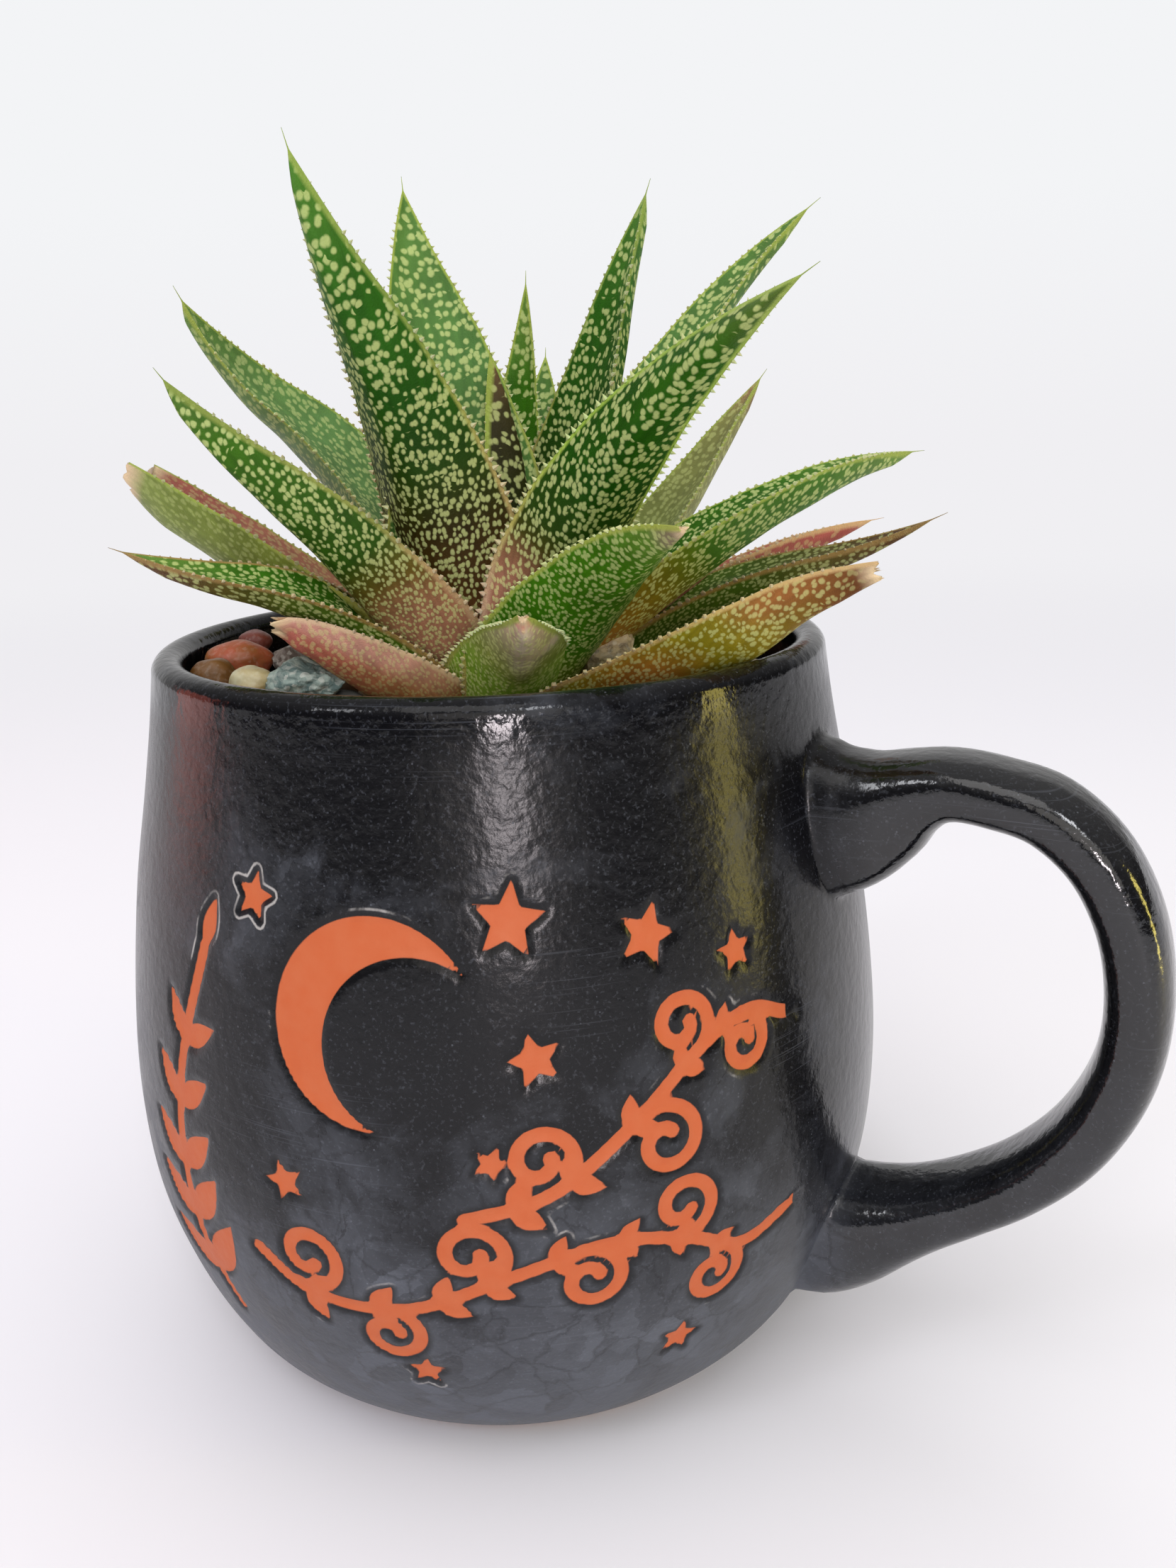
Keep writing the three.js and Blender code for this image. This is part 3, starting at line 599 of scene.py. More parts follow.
def glaze_material(settings):
    """Black satin glaze on stoneware: near-black, soft vertical highlights and a glossier lip and handle, a
    cloudy hard-water film with dark tide lines on the lower belly, dust, fans of hairline scratches, and matt
    orange motifs where the clay was left bare, some with a crust of lime round them."""
    material, add, shader = new_material("satin_black_glaze", Roughness=0.3, IOR=1.52)
    place = add("TexCoord").outputs["Object"]
    across, _, height = add("SeparateXYZ", place).outputs
    inlay = add("Attribute", attribute_name="inlay").outputs["Fac"]
    wall_end, handle_start = HANDLE_JOINT

    # hard-water film: cloudy over a centimetre or two, in blotches of 3 to 6 mm, thicker towards the foot
    clouds = add("TexNoise", place, Scale=55.0, Detail=7.0, Roughness=0.62, Distortion=0.6)
    low = add("MapRange", height, 0.06, 0.01, 0.0, 0.5)
    film = add("MapRange", add("Math ADD", clouds, low), 0.54, 0.9, 0.0, 0.85)
    bent = add("VectorMath MULTIPLY_ADD", clouds.outputs["Color"], (0.012, 0.012, 0.012), place)
    blotch = add("SeparateColor", add("TexVoronoi", bent, Scale=230.0).outputs["Color"])
    uneven = add("MapRange", blotch, 0.0, 1.0, 0.4, 0.9)
    on_belly = add("MapRange", across, handle_start, wall_end, 0.15, 1.0)
    haze = add("Math MULTIPLY", add("Math MULTIPLY", film, on_belly), uneven)
    # tide lines where drops dried: dark rims in the film, 6 to 7 mm apart
    rings = add("TexVoronoi", bent, Scale=150.0, feature="DISTANCE_TO_EDGE")
    tide = add("MapRange", rings, 0.05, 0.0, 0.0, 0.45)
    veil = add("Math MULTIPLY", haze, add("Math SUBTRACT", 1.0, tide))
    # dust of a few tenths of a millimetre, and a few larger specks
    flour = add("TexNoise", place, Scale=2600.0, Detail=2.0)
    dust = add("MapRange", flour, 0.57, 0.78, 0.0, 0.28)
    speck = add("MapRange", add("TexVoronoi", place, Scale=520.0), 0.07, 0.04, 0.0, 0.45)
    # fans of hairline scratches a quarter of a millimetre apart, in patches a few centimetres long
    stretched = add("Mapping", place, Scale=(60.0, 60.0, 4200.0), Rotation=(0.08, 0.05, 0.0))
    hair = add("MapRange", add("TexNoise", stretched, Scale=1.0, Detail=1.0), 0.62, 0.74)
    fan = add("MapRange", add("TexNoise", place, Scale=34.0), 0.5, 0.62, 0.0, 0.22)
    scratch = add("Math MULTIPLY", hair, fan)
    marks = add("Math MAXIMUM", add("Math MAXIMUM", speck, scratch), dust)
    dirt = add("Math ADD", veil, marks, use_clamp=True)
    dusty = add("Mix RGBA", dirt, tuple(settings.glaze), linear("5c6069"))

    # the unglazed foot
    foot = add("MapRange", height, 0.0012, 0.0006)
    footed = add("Mix RGBA", foot, dusty, linear("8f6248"))
    # the motifs, with a dark ring round each that is partly glaze pooling thick and partly painted shade at
    # the edge of the recess, and lime crusted along some of them
    motif = add("MapRange", inlay, -0.06, 0.06)
    worn = add("MapRange", add("TexNoise", place, Scale=420.0, Detail=4.0), 0.3, 0.75, 0.0, 0.3)
    clay = add("Mix RGBA", worn, tuple(settings.inlay), linear("c0704a"))
    # darker ring round each motif: glaze pooling thick, with painted shade where the wall dips into the motif
    pool_and_shade = add("MapRange", inlay, -0.9, -0.2, 0.0, 0.85)
    pooled_and_shaded = add("Mix RGBA", pool_and_shade, footed, linear("09090b"))
    from_crust = add("Math ABSOLUTE", add("Math SUBTRACT", inlay, -0.75))
    crust_here = add("MapRange", clouds, 0.58, 0.66, 0.0, 0.6)
    crust = add("Math MULTIPLY", add("MapRange", from_crust, 0.2, 0.05), crust_here)
    limed = add("Mix RGBA", crust, pooled_and_shaded, linear("c8c4c0"))
    colour = add("Mix RGBA", motif, limed, clay)

    # satin on the wall, glossier at the lip and on the handle, and matt on bare clay
    satin = add("MapRange", dirt, 0.0, 1.0, 0.24, 0.6)
    lip = add("MapRange", height, 0.089, 0.0925)
    grip = add("MapRange", across, wall_end, handle_start)
    glossy = add("Mix", add("Math MAXIMUM", lip, grip), satin, 0.12)
    rough = add("Mix", add("Math MAXIMUM", motif, foot), glossy, 0.55)
    # orange-peel of the glaze, a millimetre or two from crest to crest
    peel = add("TexNoise", place, Scale=700.0, Detail=3.0)
    bump = add("Bump", Height=peel, Strength=0.3, Distance=0.0003)
    mirror = add("Mix", grip, 0.28, 0.65)
    add(shader, Base_Color=colour, Roughness=rough, Specular_IOR_Level=mirror, Normal=bump)
    return material


class MakeMug(bpy.types.Operator):
    """Throws the mug, presses the motifs into it and joins its handle"""
    bl_idname = "succulent.make_mug"
    bl_label = "Mug"

    def execute(self, context):
        settings = context.scene.succulent_mug
        glaze = glaze_material(settings)
        body = mug_body()
        add_tree(body, relief_tree(), depth=settings.relief, material=glaze)
        bake_modifiers(body)
        handle = mug_handle()
        handle.data.materials.append(glaze)
        union = body.modifiers.new("join_handle", "BOOLEAN")
        union.operation = "UNION"
        union.object = handle
        union.solver = "MANIFOLD"
        bake_modifiers(body)
        bpy.data.objects.remove(handle)
        body.data.polygons.foreach_set("use_smooth", np.ones(len(body.data.polygons), bool))
        clear_handle_joint(body)
        soften_handle_root(body)
        kept(body, "mug_glaze", "mug")
        return {"FINISHED"}


def clear_handle_joint(body, beyond=41, beside=16):
    """Keeps the motifs' colour off the vertices that joining the handle made: those with x over beyond and y
    within beside."""
    places = np.zeros((len(body.data.vertices), 3))
    body.data.vertices.foreach_get("co", places.ravel())
    x, y, _ = (places / MM).T
    inlay = body.data.attributes["inlay"]
    values = np.zeros(len(places))
    inlay.data.foreach_get("value", values)
    values[(x > beyond) & (abs(y) < beside)] = NO_MOTIF
    inlay.data.foreach_set("value", values)


def soften_handle_root(body, wall=48, reach=4.5, crease=0.82):
    """Rounds the crease where the handle meets the wall, as the slip and the glaze do. The crease is looked
    for within reach of the wall, where two faces' normals make an angle whose cosine is under crease."""
    work = bmesh.new()
    work.from_mesh(body.data)
    bmesh.ops.remove_doubles(work, verts=work.verts, dist=1e-6)
    band = set()
    for vertex in work.verts:
        x, y, z = (c / MM for c in vertex.co)
        if x > 40 and abs(y) < 11 and 6 < z < 90 and abs(math.hypot(x, y) - wall) < reach:
            faces = vertex.link_faces
            if any(a.normal.dot(b.normal) < crease for a in faces for b in faces if a.index < b.index):
                band.add(vertex)
    for _ in range(2):
        band |= {edge.other_vert(v) for v in list(band) for edge in v.link_edges}
    for _ in range(6):
        bmesh.ops.smooth_vert(work, verts=list(band), factor=0.5, use_axis_x=True, use_axis_y=True,
                              use_axis_z=True)
    work.to_mesh(body.data)
    work.free()


# ------------------------------------------------------------------ soil, stem, stones

def soil_material():
    """Gritty potting mix: dark brown crumbs a millimetre or so across, with paler bits of bark and grit."""
    material, add, shader = new_material("gritty_potting_mix", Roughness=0.95)
    crumbs = add("TexVoronoi", add("TexCoord").outputs["Object"], Scale=650.0)
    tones = add("MapRange", crumbs.outputs["Color"])
    colour = add("Mix RGBA", tones, linear("1d1410"), linear("54402e"))
    add(shader, Base_Color=colour, Normal=add("Bump", Height=crumbs, Strength=0.9, Distance=0.0008))
    return material


def stem_material():
    """Dry stem: straw-brown, with the fibres and scale lines of old leaf bases."""
    material, add, shader = new_material("dry_fibrous_stem", Roughness=0.85)
    stretched = add("Mapping", add("TexCoord").outputs["Object"], Scale=(900.0, 900.0, 90.0))
    fibres = add("TexNoise", stretched, Scale=1.0, Detail=4.0)
    colour = add("Mix RGBA", fibres, linear("5a4426"), linear("b59a68"))
    add(shader, Base_Color=colour, Normal=add("Bump", Height=fibres, Strength=0.6, Distance=0.0004))
    return material


class DressSoil(bpy.types.Operator):
    """Gives the soil and the stem their finishes"""
    bl_idname = "succulent.dress_soil"
    bl_label = "Soil and stem"

    def execute(self, context):
        for node, material in (("potting_soil", soil_material()), ("stem", stem_material())):
            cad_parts[node].data.materials.clear()
            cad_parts[node].data.materials.append(material)
        return {"FINISHED"}


def stone_material(name, first, second, broken):
    """A stone: worn pebbles are smooth, with soft bands and a faint polish; broken rock is rough and
    flecked with mineral grains half a millimetre across."""
    material, add, shader = new_material(name, Roughness=0.85 if broken else 0.42)
    place = add("TexCoord").outputs["Object"]
    patches = add("TexNoise", place, Scale=330.0 if broken else 150.0, Detail=6.0, Roughness=0.65,
                  Distortion=0.8)
    share = add("MapRange", patches, *((0.46, 0.56) if broken else (0.38, 0.66)))
    base = add("Mix RGBA", share, linear(first), linear(second))
    grains = add("TexVoronoi", place, Scale=1900.0 if broken else 2600.0).outputs["Color"]
    fleck = add("MapRange", grains, 0.55, 1.0, 0.0, 0.45 if broken else 0.12)
    colour = add("Mix RGBA", fleck, base, linear("e6e4da"))
    bump = add("Bump", Height=patches, Strength=0.8 if broken else 0.25,
               Distance=0.0006 if broken else 0.0002)
    add(shader, Base_Color=colour, Normal=bump)
    return material


def mixed_gravel_material():
    """Washed gravel: each stone has its own tone, from grey and tan to rust and slate."""
    material, add, shader = new_material("mixed_washed_gravel", Roughness=0.6)
    ramp = add("ValToRGB", add("Attribute", attribute_name="stone_tone").outputs["Fac"])
    ramp.color_ramp.interpolation = "CONSTANT"
    stops = ["6b5a48", "8c7a62", "a5563a", "b79f76", "5f625f", "7a4a34", "c2b89c", "4c4542"]
    for i, colour in enumerate(stops):
        element = ramp.color_ramp.elements[i] if i < 2 else ramp.color_ramp.elements.new(1.0)
        element.position = i / (len(stops) - 1)
        element.color = linear(colour)
    patches = add("TexNoise", add("TexCoord").outputs["Object"], Scale=380.0, Detail=6.0, Distortion=0.5)
    shade = add("MapRange", patches, 0.3, 0.7, 0.0, 0.5)
    colour = add("Mix RGBA", shade, ramp, linear("3a302a"))
    add(shader, Base_Color=colour, Normal=add("Bump", Height=patches, Strength=0.45, Distance=0.0004))
    return material


def stone_mesh(name, half_sizes, broken, seed, detail):
    """One stone about the origin: a worn pebble swells softly, a broken rock has flat faces and edges."""
    work = bmesh.new()
    bmesh.ops.create_icosphere(work, subdivisions=detail, radius=1.0)
    shift = Vector((seed * 3.7, seed * 1.9, seed * 5.3))
    cuts = [noise.random_unit_vector() for _ in range(9)]
    for vertex in work.verts:
        way = vertex.co.normalized()
        reach = 1 + 0.16 * noise.noise(way * 1.1 + shift)
        if broken:
            for cut in cuts:
                facing = way.dot(cut)
                if facing > 0.1:
                    reach = min(reach, 0.74 / facing)
            reach += 0.09 * noise.fractal(way * 3.2 + shift, 0.6, 2.1, 4)
        else:
            reach += 0.02 * noise.noise(way * 4 + shift)
        vertex.co = Vector((way.x * half_sizes[0], way.y * half_sizes[1], way.z * half_sizes[2])) * reach * MM
    mesh = bpy.data.meshes.new(name)
    work.to_mesh(mesh)
    work.free()
    mesh.polygons.foreach_set("use_smooth", np.ones(len(mesh.polygons), bool))
    return mesh


def scatter_tree():
    """Geometry Nodes that scatter stones over a surface, each turned and sized at random."""
    add, (bed, gap, seed, smallest, largest, stones, material), result = tree_with_inputs(
        "scattered_stones", Gap=0.004, Seed=0, Smallest=0.7, Largest=1.3, Stones="Collection",
        Material="Material")
    points = add("DistributePointsOnFaces", bed, Distance_Min=gap, Density_Max=400000.0, Seed=seed,
                 distribute_method="POISSON")
    forms = add("CollectionInfo", stones, True, True)
    pick = add("RandomValue INT", 0, 99, Seed=seed)
    turn = add("RandomValue FLOAT_VECTOR", (-0.5, -0.5, 0.0), (0.5, 0.5, 2 * math.pi), Seed=seed)
    size = add("RandomValue FLOAT", smallest, largest, Seed=seed)
    laid = add("InstanceOnPoints", points, Instance=forms, Pick_Instance=True, Instance_Index=pick,
               Rotation=add("EulerToRotation", turn), Scale=size)
    tone = add("RandomValue FLOAT", 0.0, 1.0, Seed=seed)
    marked = add("StoreNamedAttribute FLOAT", laid, Name="stone_tone", Value=tone, domain="INSTANCE")
    add(result, add("SetMaterial", add("RealizeInstances", marked), Material=material))
    return result.id_data


def bed_surface(name, outer, height, hump=1.6):
    """A ring-shaped sheet for stones to lie on, uneven by the hump."""
    vertices = []
    angles = np.linspace(0, 2 * math.pi, 40, endpoint=False)
    radii = np.linspace(GRAVEL_INNER - 2, outer, 8)
    for r in radii:
        for a in angles:
            x, y = r * math.cos(a), r * math.sin(a)
            vertices.append((x, y, height + hump * noise.noise(Vector((x, y, 7)) * 0.09)))
    return mesh_object(name, vertices, closed_strip(len(radii), len(angles), False, False))


class MakeGravel(bpy.types.Operator):
    """Scatters pebbles and grit over the soil"""
    bl_idname = "succulent.make_gravel"
    bl_label = "Gravel"

    def execute(self, context):
        settings = context.scene.succulent_filling
        material = mixed_gravel_material()
        noise.seed_set(settings.seed)
        tree = scatter_tree()
        # name, outer radius and height of the bed, gap, half size, detail, smallest and largest share
        layers = (
            ("pebbles", GRAVEL_OUTER - 3.2, GRAVEL_TOP - 0.6, settings.pebble_gap, 2.3, 2, 0.72, 1.2),
            ("grit", GRAVEL_OUTER - 1.2, GRAVEL_TOP - 1.6, settings.grit_gap, 1.15, 1, 0.7, 1.3),
        )
        for name, outer, height, gap, size, detail, smallest, largest in layers:
            forms = bpy.data.collections.new(f"{name}_forms")
            for i in range(8):
                long, flat = 1.1 + 0.25 * noise.random(), 0.62 + 0.2 * noise.random()
                half_sizes = (size * long, size, size * flat)
                mesh = stone_mesh(f"{name}_form", half_sizes, i % 4 == 3, i + 2, detail)
                forms.objects.link(bpy.data.objects.new(f"{name}_form_{i}", mesh))
            bed = bed_surface(name, outer, height)
            add_tree(bed, tree, gap=gap, seed=settings.seed, smallest=smallest, largest=largest,
                     stones=forms, material=material)
            bake_modifiers(bed)
            kept(bed, "gravel", "gravel")
        return {"FINISHED"}


class MakeStones(bpy.types.Operator):
    """Lays the larger pebbles and rocks on the gravel"""
    bl_idname = "succulent.make_stones"
    bl_label = "Loose stones"

    def execute(self, context):
        noise.seed_set(11)
        for i, (name, row) in enumerate(LOOSE_STONES.items()):
            x, y, z, hx, hy, hz, turn, finish, first, second = row
            broken = finish == "broken"
            mesh = stone_mesh(f"loose_{name}", (hx, hy, hz), broken, i + 1, 5)
            stone = bpy.data.objects.new(f"loose_{name}", mesh)
            context.scene.collection.objects.link(stone)
            place = Matrix.Translation(Vector((x, y, z)) * MM)
            mesh.transform(place @ Matrix.Rotation(math.radians(turn), 4, "Z"))
            mesh.materials.append(stone_material(f"{finish}_stone_{name}", first, second, broken))
            kept(stone, "gravel", name)
        return {"FINISHED"}


# ------------------------------------------------------------------ leaves

STATIONS = 150
SECTION = 52
HAIR_SHARE = 0.03      # of a whole leaf's length, for the hair that its tip ends in
HAIR_WIDTH = 0.16
EDGE_THICKNESS = 0.28   # of the horny margin
DRAWN_IN, RAGGED, DRY = 0.09, 0.04, 0.035     # shares of the length that are so before a broken end
FULL_TOOTH_AT = 2.5     # half width from which the teeth have their full size
TOOTH_LEAN = 0.45       # of a tooth towards the tip


def stem_radius(height):
    share = min(max((height - STEM_SHOULDER) / (STEM_TOP - STEM_SHOULDER), 0), 1)
    return STEM_RADII[0] + (STEM_RADII[1] - STEM_RADII[0]) * share


def leaf_width(t, taper):
    """A leaf's width at a share t of its length, as a share of its widest."""
    swell = 1 - (1 - ROOT_WIDTH) * (1 - np.minimum(t / WIDEST_AT, 1)) ** 2
    return swell * (1 - np.clip((t - WIDEST_AT) / (1 - WIDEST_AT), 0, 1) ** taper)


def leaf_thickness(t):
    swell = 1 - (1 - ROOT_THICKNESS) * (1 - np.minimum(t / THICKEST_AT, 1)) ** 2
    return LEAF_THICKNESS * swell * (0.15 + 0.85 * np.clip(1 - t, 0, 1) ** 0.7)


def unit(rows):
    return rows / np.linalg.norm(rows, axis=-1, keepdims=True)


def turn_about(rows, axis, angle):
    """Rows of vectors turned about rows of unit axes."""
    return rows * np.cos(angle) + np.cross(axis, rows) * np.sin(angle)


def leaf_frame(row, t):
    """Middle line, level and normal directions and heading of a leaf at each share t of its length."""
    azimuth, reach, rise, root_height, lift, sway, hook, _, roll, extras = row
    angle = math.radians(azimuth)
    out = np.array([math.cos(angle), math.sin(angle), 0.0])
    side = np.array([-math.sin(angle), math.cos(angle), 0.0])
    axis = np.array([*PLANT_AXIS, root_height])
    root = axis + out * stem_radius(root_height)
    chord = axis + out * reach + np.array([0, 0, rise]) - root
    above = np.cross(chord / np.linalg.norm(chord), side)

    def along(s):
        s = s[:, None]
        bow = 4 * s * (1 - s)
        curl_back = (np.maximum((s - 0.7) / 0.3, 0) ** 2 - s) * hook
        return root + chord * s + above * (bow * lift + curl_back) + side * bow * sway

    heading = unit(along(t + 0.01) - along(t - 0.01))
    level = unit(side - heading * (heading @ side)[:, None])
    normal = np.cross(heading, level)
    turn = np.radians(roll + extras.get("twist", 0) * (1 - t) ** 2)[:, None]
    return along(t), turn_about(level, heading, turn), turn_about(normal, heading, turn), heading


def wobble(values, seed, scale):
    """Smooth noise along a row of numbers."""
    return np.array([noise.noise(Vector((v * scale, seed * 7.3, 0.5))) for v in values])


def blend(stops, t):
    """Colours at each share t of a leaf's length, between the given ones."""
    colours = np.array([linear(c) for _, c in stops])
    return np.stack([np.interp(t, [s for s, _ in stops], colours[:, k]) for k in range(4)], axis=-1)


def leaf_mesh(name, row, seed):
    """A keeled blade with a gutter along its upper face, ending in a hair or a dried, broken end."""
    width, extras = row[7], row[9]
    end, taper, blunt = extras.get("end", 1.0), extras.get("taper", TAPER), extras.get("blunt")
    t = end * np.linspace(0, 1, STATIONS) ** 0.94
    middle, level, normal, heading = leaf_frame(row, t)
    blade = t if blunt else t / (1 - HAIR_SHARE * t ** 4)
    half = leaf_width(blade, taper) * width / 2
    half = half * (1 + 0.035 * wobble(t * 60, seed, 0.21))
    half = np.maximum(half, HAIR_WIDTH / 2 * np.clip((1.02 - t) / 0.06, 0.25, 1))
    flesh = np.minimum(leaf_thickness(np.minimum(blade, 1)), 1.2 * half)
    if blunt:
        # dried tissue draws in towards the broken end
        flesh = flesh * (1 - 0.45 * np.clip((t - (end - DRAWN_IN)) / DRAWN_IN, 0, 1) ** 1.5)
    angles = np.linspace(math.pi, -math.pi, SECTION, endpoint=False)
    u = np.cos(angles)
    upper = np.sin(angles) >= -1e-9
    gutter = half[:, None] * CHANNEL * u ** 2
    edge = np.minimum(EDGE_THICKNESS, 0.5 * half)[:, None] * np.sqrt(np.clip(1 - u ** 2, 0, 1)) * 0.5
    belly = flesh[:, None] * (1 - abs(u) ** KEEL_SHARPNESS)
    lumps = np.array([[noise.noise(Vector((s * 9.0, v * 1.6 + seed, 3.1 if up else 8.4)))
                       for v, up in zip(u, upper)] for s in t])
    height = np.where(upper, gutter + edge, gutter - belly - edge)
    height = height + lumps * np.minimum(0.35, 0.06 * half)[:, None] * (1 - u ** 2)
    rings = (middle[:, None] + (half[:, None] * u)[..., None] * level[:, None]
             + height[..., None] * normal[:, None])
    if blunt:
        ragged = np.array([noise.fractal(Vector((v * 2.3, seed, 1.7)), 0.7, 2.0, 3) for v in u])
        deep = 1.3 if blunt == "cut" else 0.9
        pull = np.clip((t - (end - RAGGED)) / RAGGED, 0, 1)[:, None] * ragged * deep
        rings = rings + pull[..., None] * heading[:, None]
    sink = rings[-1].mean(axis=0) - heading[-1] * (1.6 if blunt == "cut" else 0.2)
    vertices = np.vstack([rings.reshape(-1, 3), rings[:1].mean(axis=1), [sink]])
    leaf = mesh_object(f"blade_{name}", vertices, closed_strip(len(t), SECTION))
    dress_leaf(leaf, name, extras, u, upper, t, half)
    map_leaf(leaf, extras, rings, t, seed)

    # the edges that the marginal teeth stand on, which way they point and how big they are
    edges = np.zeros((len(leaf.data.edges), 2), int)
    leaf.data.edges.foreach_get("vertices", edges.ravel())
    station, column = np.divmod(edges, SECTION)
    on_margin = ((column[:, 0] == column[:, 1]) & np.isin(column[:, 0], (0, SECTION // 2))
                 & (station.max(axis=1) < len(t)))
    set_attribute(leaf, "margin", "BOOLEAN", "EDGE", on_margin)
    point_out = np.sign(u)[None, :, None] * level[:, None] + TOOTH_LEAN * heading[:, None] + 0 * rings
    size = np.interp(t / end, [0, 0.06, 0.5, 0.93, 0.97, 1], [0, 1, 0.85, 0.6, 0, 0])
    size = np.clip(half / FULL_TOOTH_AT, 0, 1) * size
    set_attribute(leaf, "tooth_way", "FLOAT_VECTOR", "POINT",
                  np.vstack([unit(point_out).reshape(-1, 3), np.zeros((2, 3))]))
    set_attribute(leaf, "tooth_size", "FLOAT", "POINT", np.append(np.repeat(size, SECTION), [0, 0]))
    outward(leaf)
    return leaf


def dress_leaf(leaf, name, extras, u, upper, t, half):
    """Stores the colours of skin and margin, how strongly the skin is spotted and how far the margin is."""
    skin, end, blunt = extras.get("outer", "fresh"), extras.get("end", 1.0), extras.get("blunt")
    outer, inner = blend(SKINS[skin], t), blend(SKINS[extras.get("inner", skin)], t)
    horn = np.repeat(blend(EDGES.get(skin, EDGES["fresh"]), t), SECTION, axis=0)
    colour = np.where(upper[None, :, None], inner[:, None], outer[:, None])
    for face, place, reach, across, breadth, tint, strength in PATCHES.get(name, []):
        away = np.hypot((t[:, None] - place) / reach, (u[None] - across) / breadth)
        share = strength * np.clip(1.6 - 1.6 * away, 0, 1) * (upper == (face == "inner"))
        colour = colour + share[..., None] * (np.array(linear(tint)) - colour)
    spotting = np.interp(t / end, [0, 0.04, 0.14, 0.9, 1], [0.05, 0.45, 1, 0.9, 0.3]) * extras.get("spots", 1)
    spotting = spotting[:, None] * np.ones(SECTION)
    tip = colour[-1, 0]
    if blunt:
        dried = np.clip((t - (end - DRY)) / 0.03, 0, 1)[:, None, None]
        straw = np.array(linear("e2c9a2"))
        colour = colour * (1 - dried) + straw * dried
        spotting = spotting * (1 - dried[..., 0])
        tip = linear("8a5a3a") if blunt == "cut" else straw
    # the horny margin is broader towards the root
    edge = half[:, None] * (1 - abs(u)) / np.interp(t, [0, 0.15, 0.35, 0.5], [2.4, 2, 1.2, 1])[:, None]
    set_attribute(leaf, "skin", "FLOAT_COLOR", "POINT",
                  np.vstack([colour.reshape(-1, 4), colour[0, :1], [tip]]))
    set_attribute(leaf, "horn", "FLOAT_COLOR", "POINT", np.vstack([horn, horn[:1], horn[-1:]]))
    set_attribute(leaf, "spotting", "FLOAT", "POINT", np.append(spotting.ravel(), [0, 0]))
    set_attribute(leaf, "to_margin", "FLOAT", "POINT", np.append(edge.ravel(), [3, 3]))


# Towards the root the spots are finer and closer, and longer than they are wide
ALONG = [0, 0.1, 0.3, 0.5, 0.8]
FINER_ACROSS = [2, 1.9, 1.65, 1.35, 1]
CLOSER_ALONG = [1.6, 1.55, 1.4, 1.25, 1]
FACE_SHIFT, SEED_SHIFT = 61.0, (17.3, 31.7)      # keep the faces and the leaves apart on the map


def map_leaf(leaf, extras, rings, t, seed):
    """Stores a map in millimetres: across each face from its middle, and along the leaf."""
    quarter = SECTION // 4
    closed = np.concatenate([rings, rings[:, :1]], axis=1)
    steps = np.linalg.norm(np.diff(closed, axis=1), axis=-1)
    round_it = np.concatenate([np.zeros((len(t), 1)), np.cumsum(steps, axis=1)], axis=1)
    lengths = np.append(0, np.cumsum(np.linalg.norm(np.diff(rings.mean(axis=1), axis=0), axis=-1)))
    fine = extras.get("fine", 1)
    finer = (fine * np.interp(t, ALONG, FINER_ACROSS))[:, None]
    closer = fine * np.append(0, np.cumsum(np.diff(lengths) * np.interp(t[1:], ALONG, CLOSER_ALONG)))
    table = np.zeros((len(t), SECTION + 1, 2, 2))
    for face, middle in enumerate((quarter, 3 * quarter)):
        table[..., face, 0] = (round_it - round_it[:, middle][:, None]) * finer
    table[..., 1] = closer[:, None, None]
    body_faces = np.arange((len(t) - 1) * SECTION)
    i, j = np.divmod(body_faces, SECTION)
    lower = (j >= 2 * quarter).astype(int)
    flat = np.zeros((len(leaf.data.loops), 2))
    for k, (a, b) in enumerate([(i, j), (i, j + 1), (i + 1, j + 1), (i + 1, j)]):
        flat[4 * body_faces + k] = table[a, b, lower] + np.stack(
            [lower * FACE_SHIFT + seed * SEED_SHIFT[0], np.full(len(lower), seed * SEED_SHIFT[1])], -1)
    leaf.data.uv_layers.new(name="leaf_mm").data.foreach_set("uv", flat.ravel())


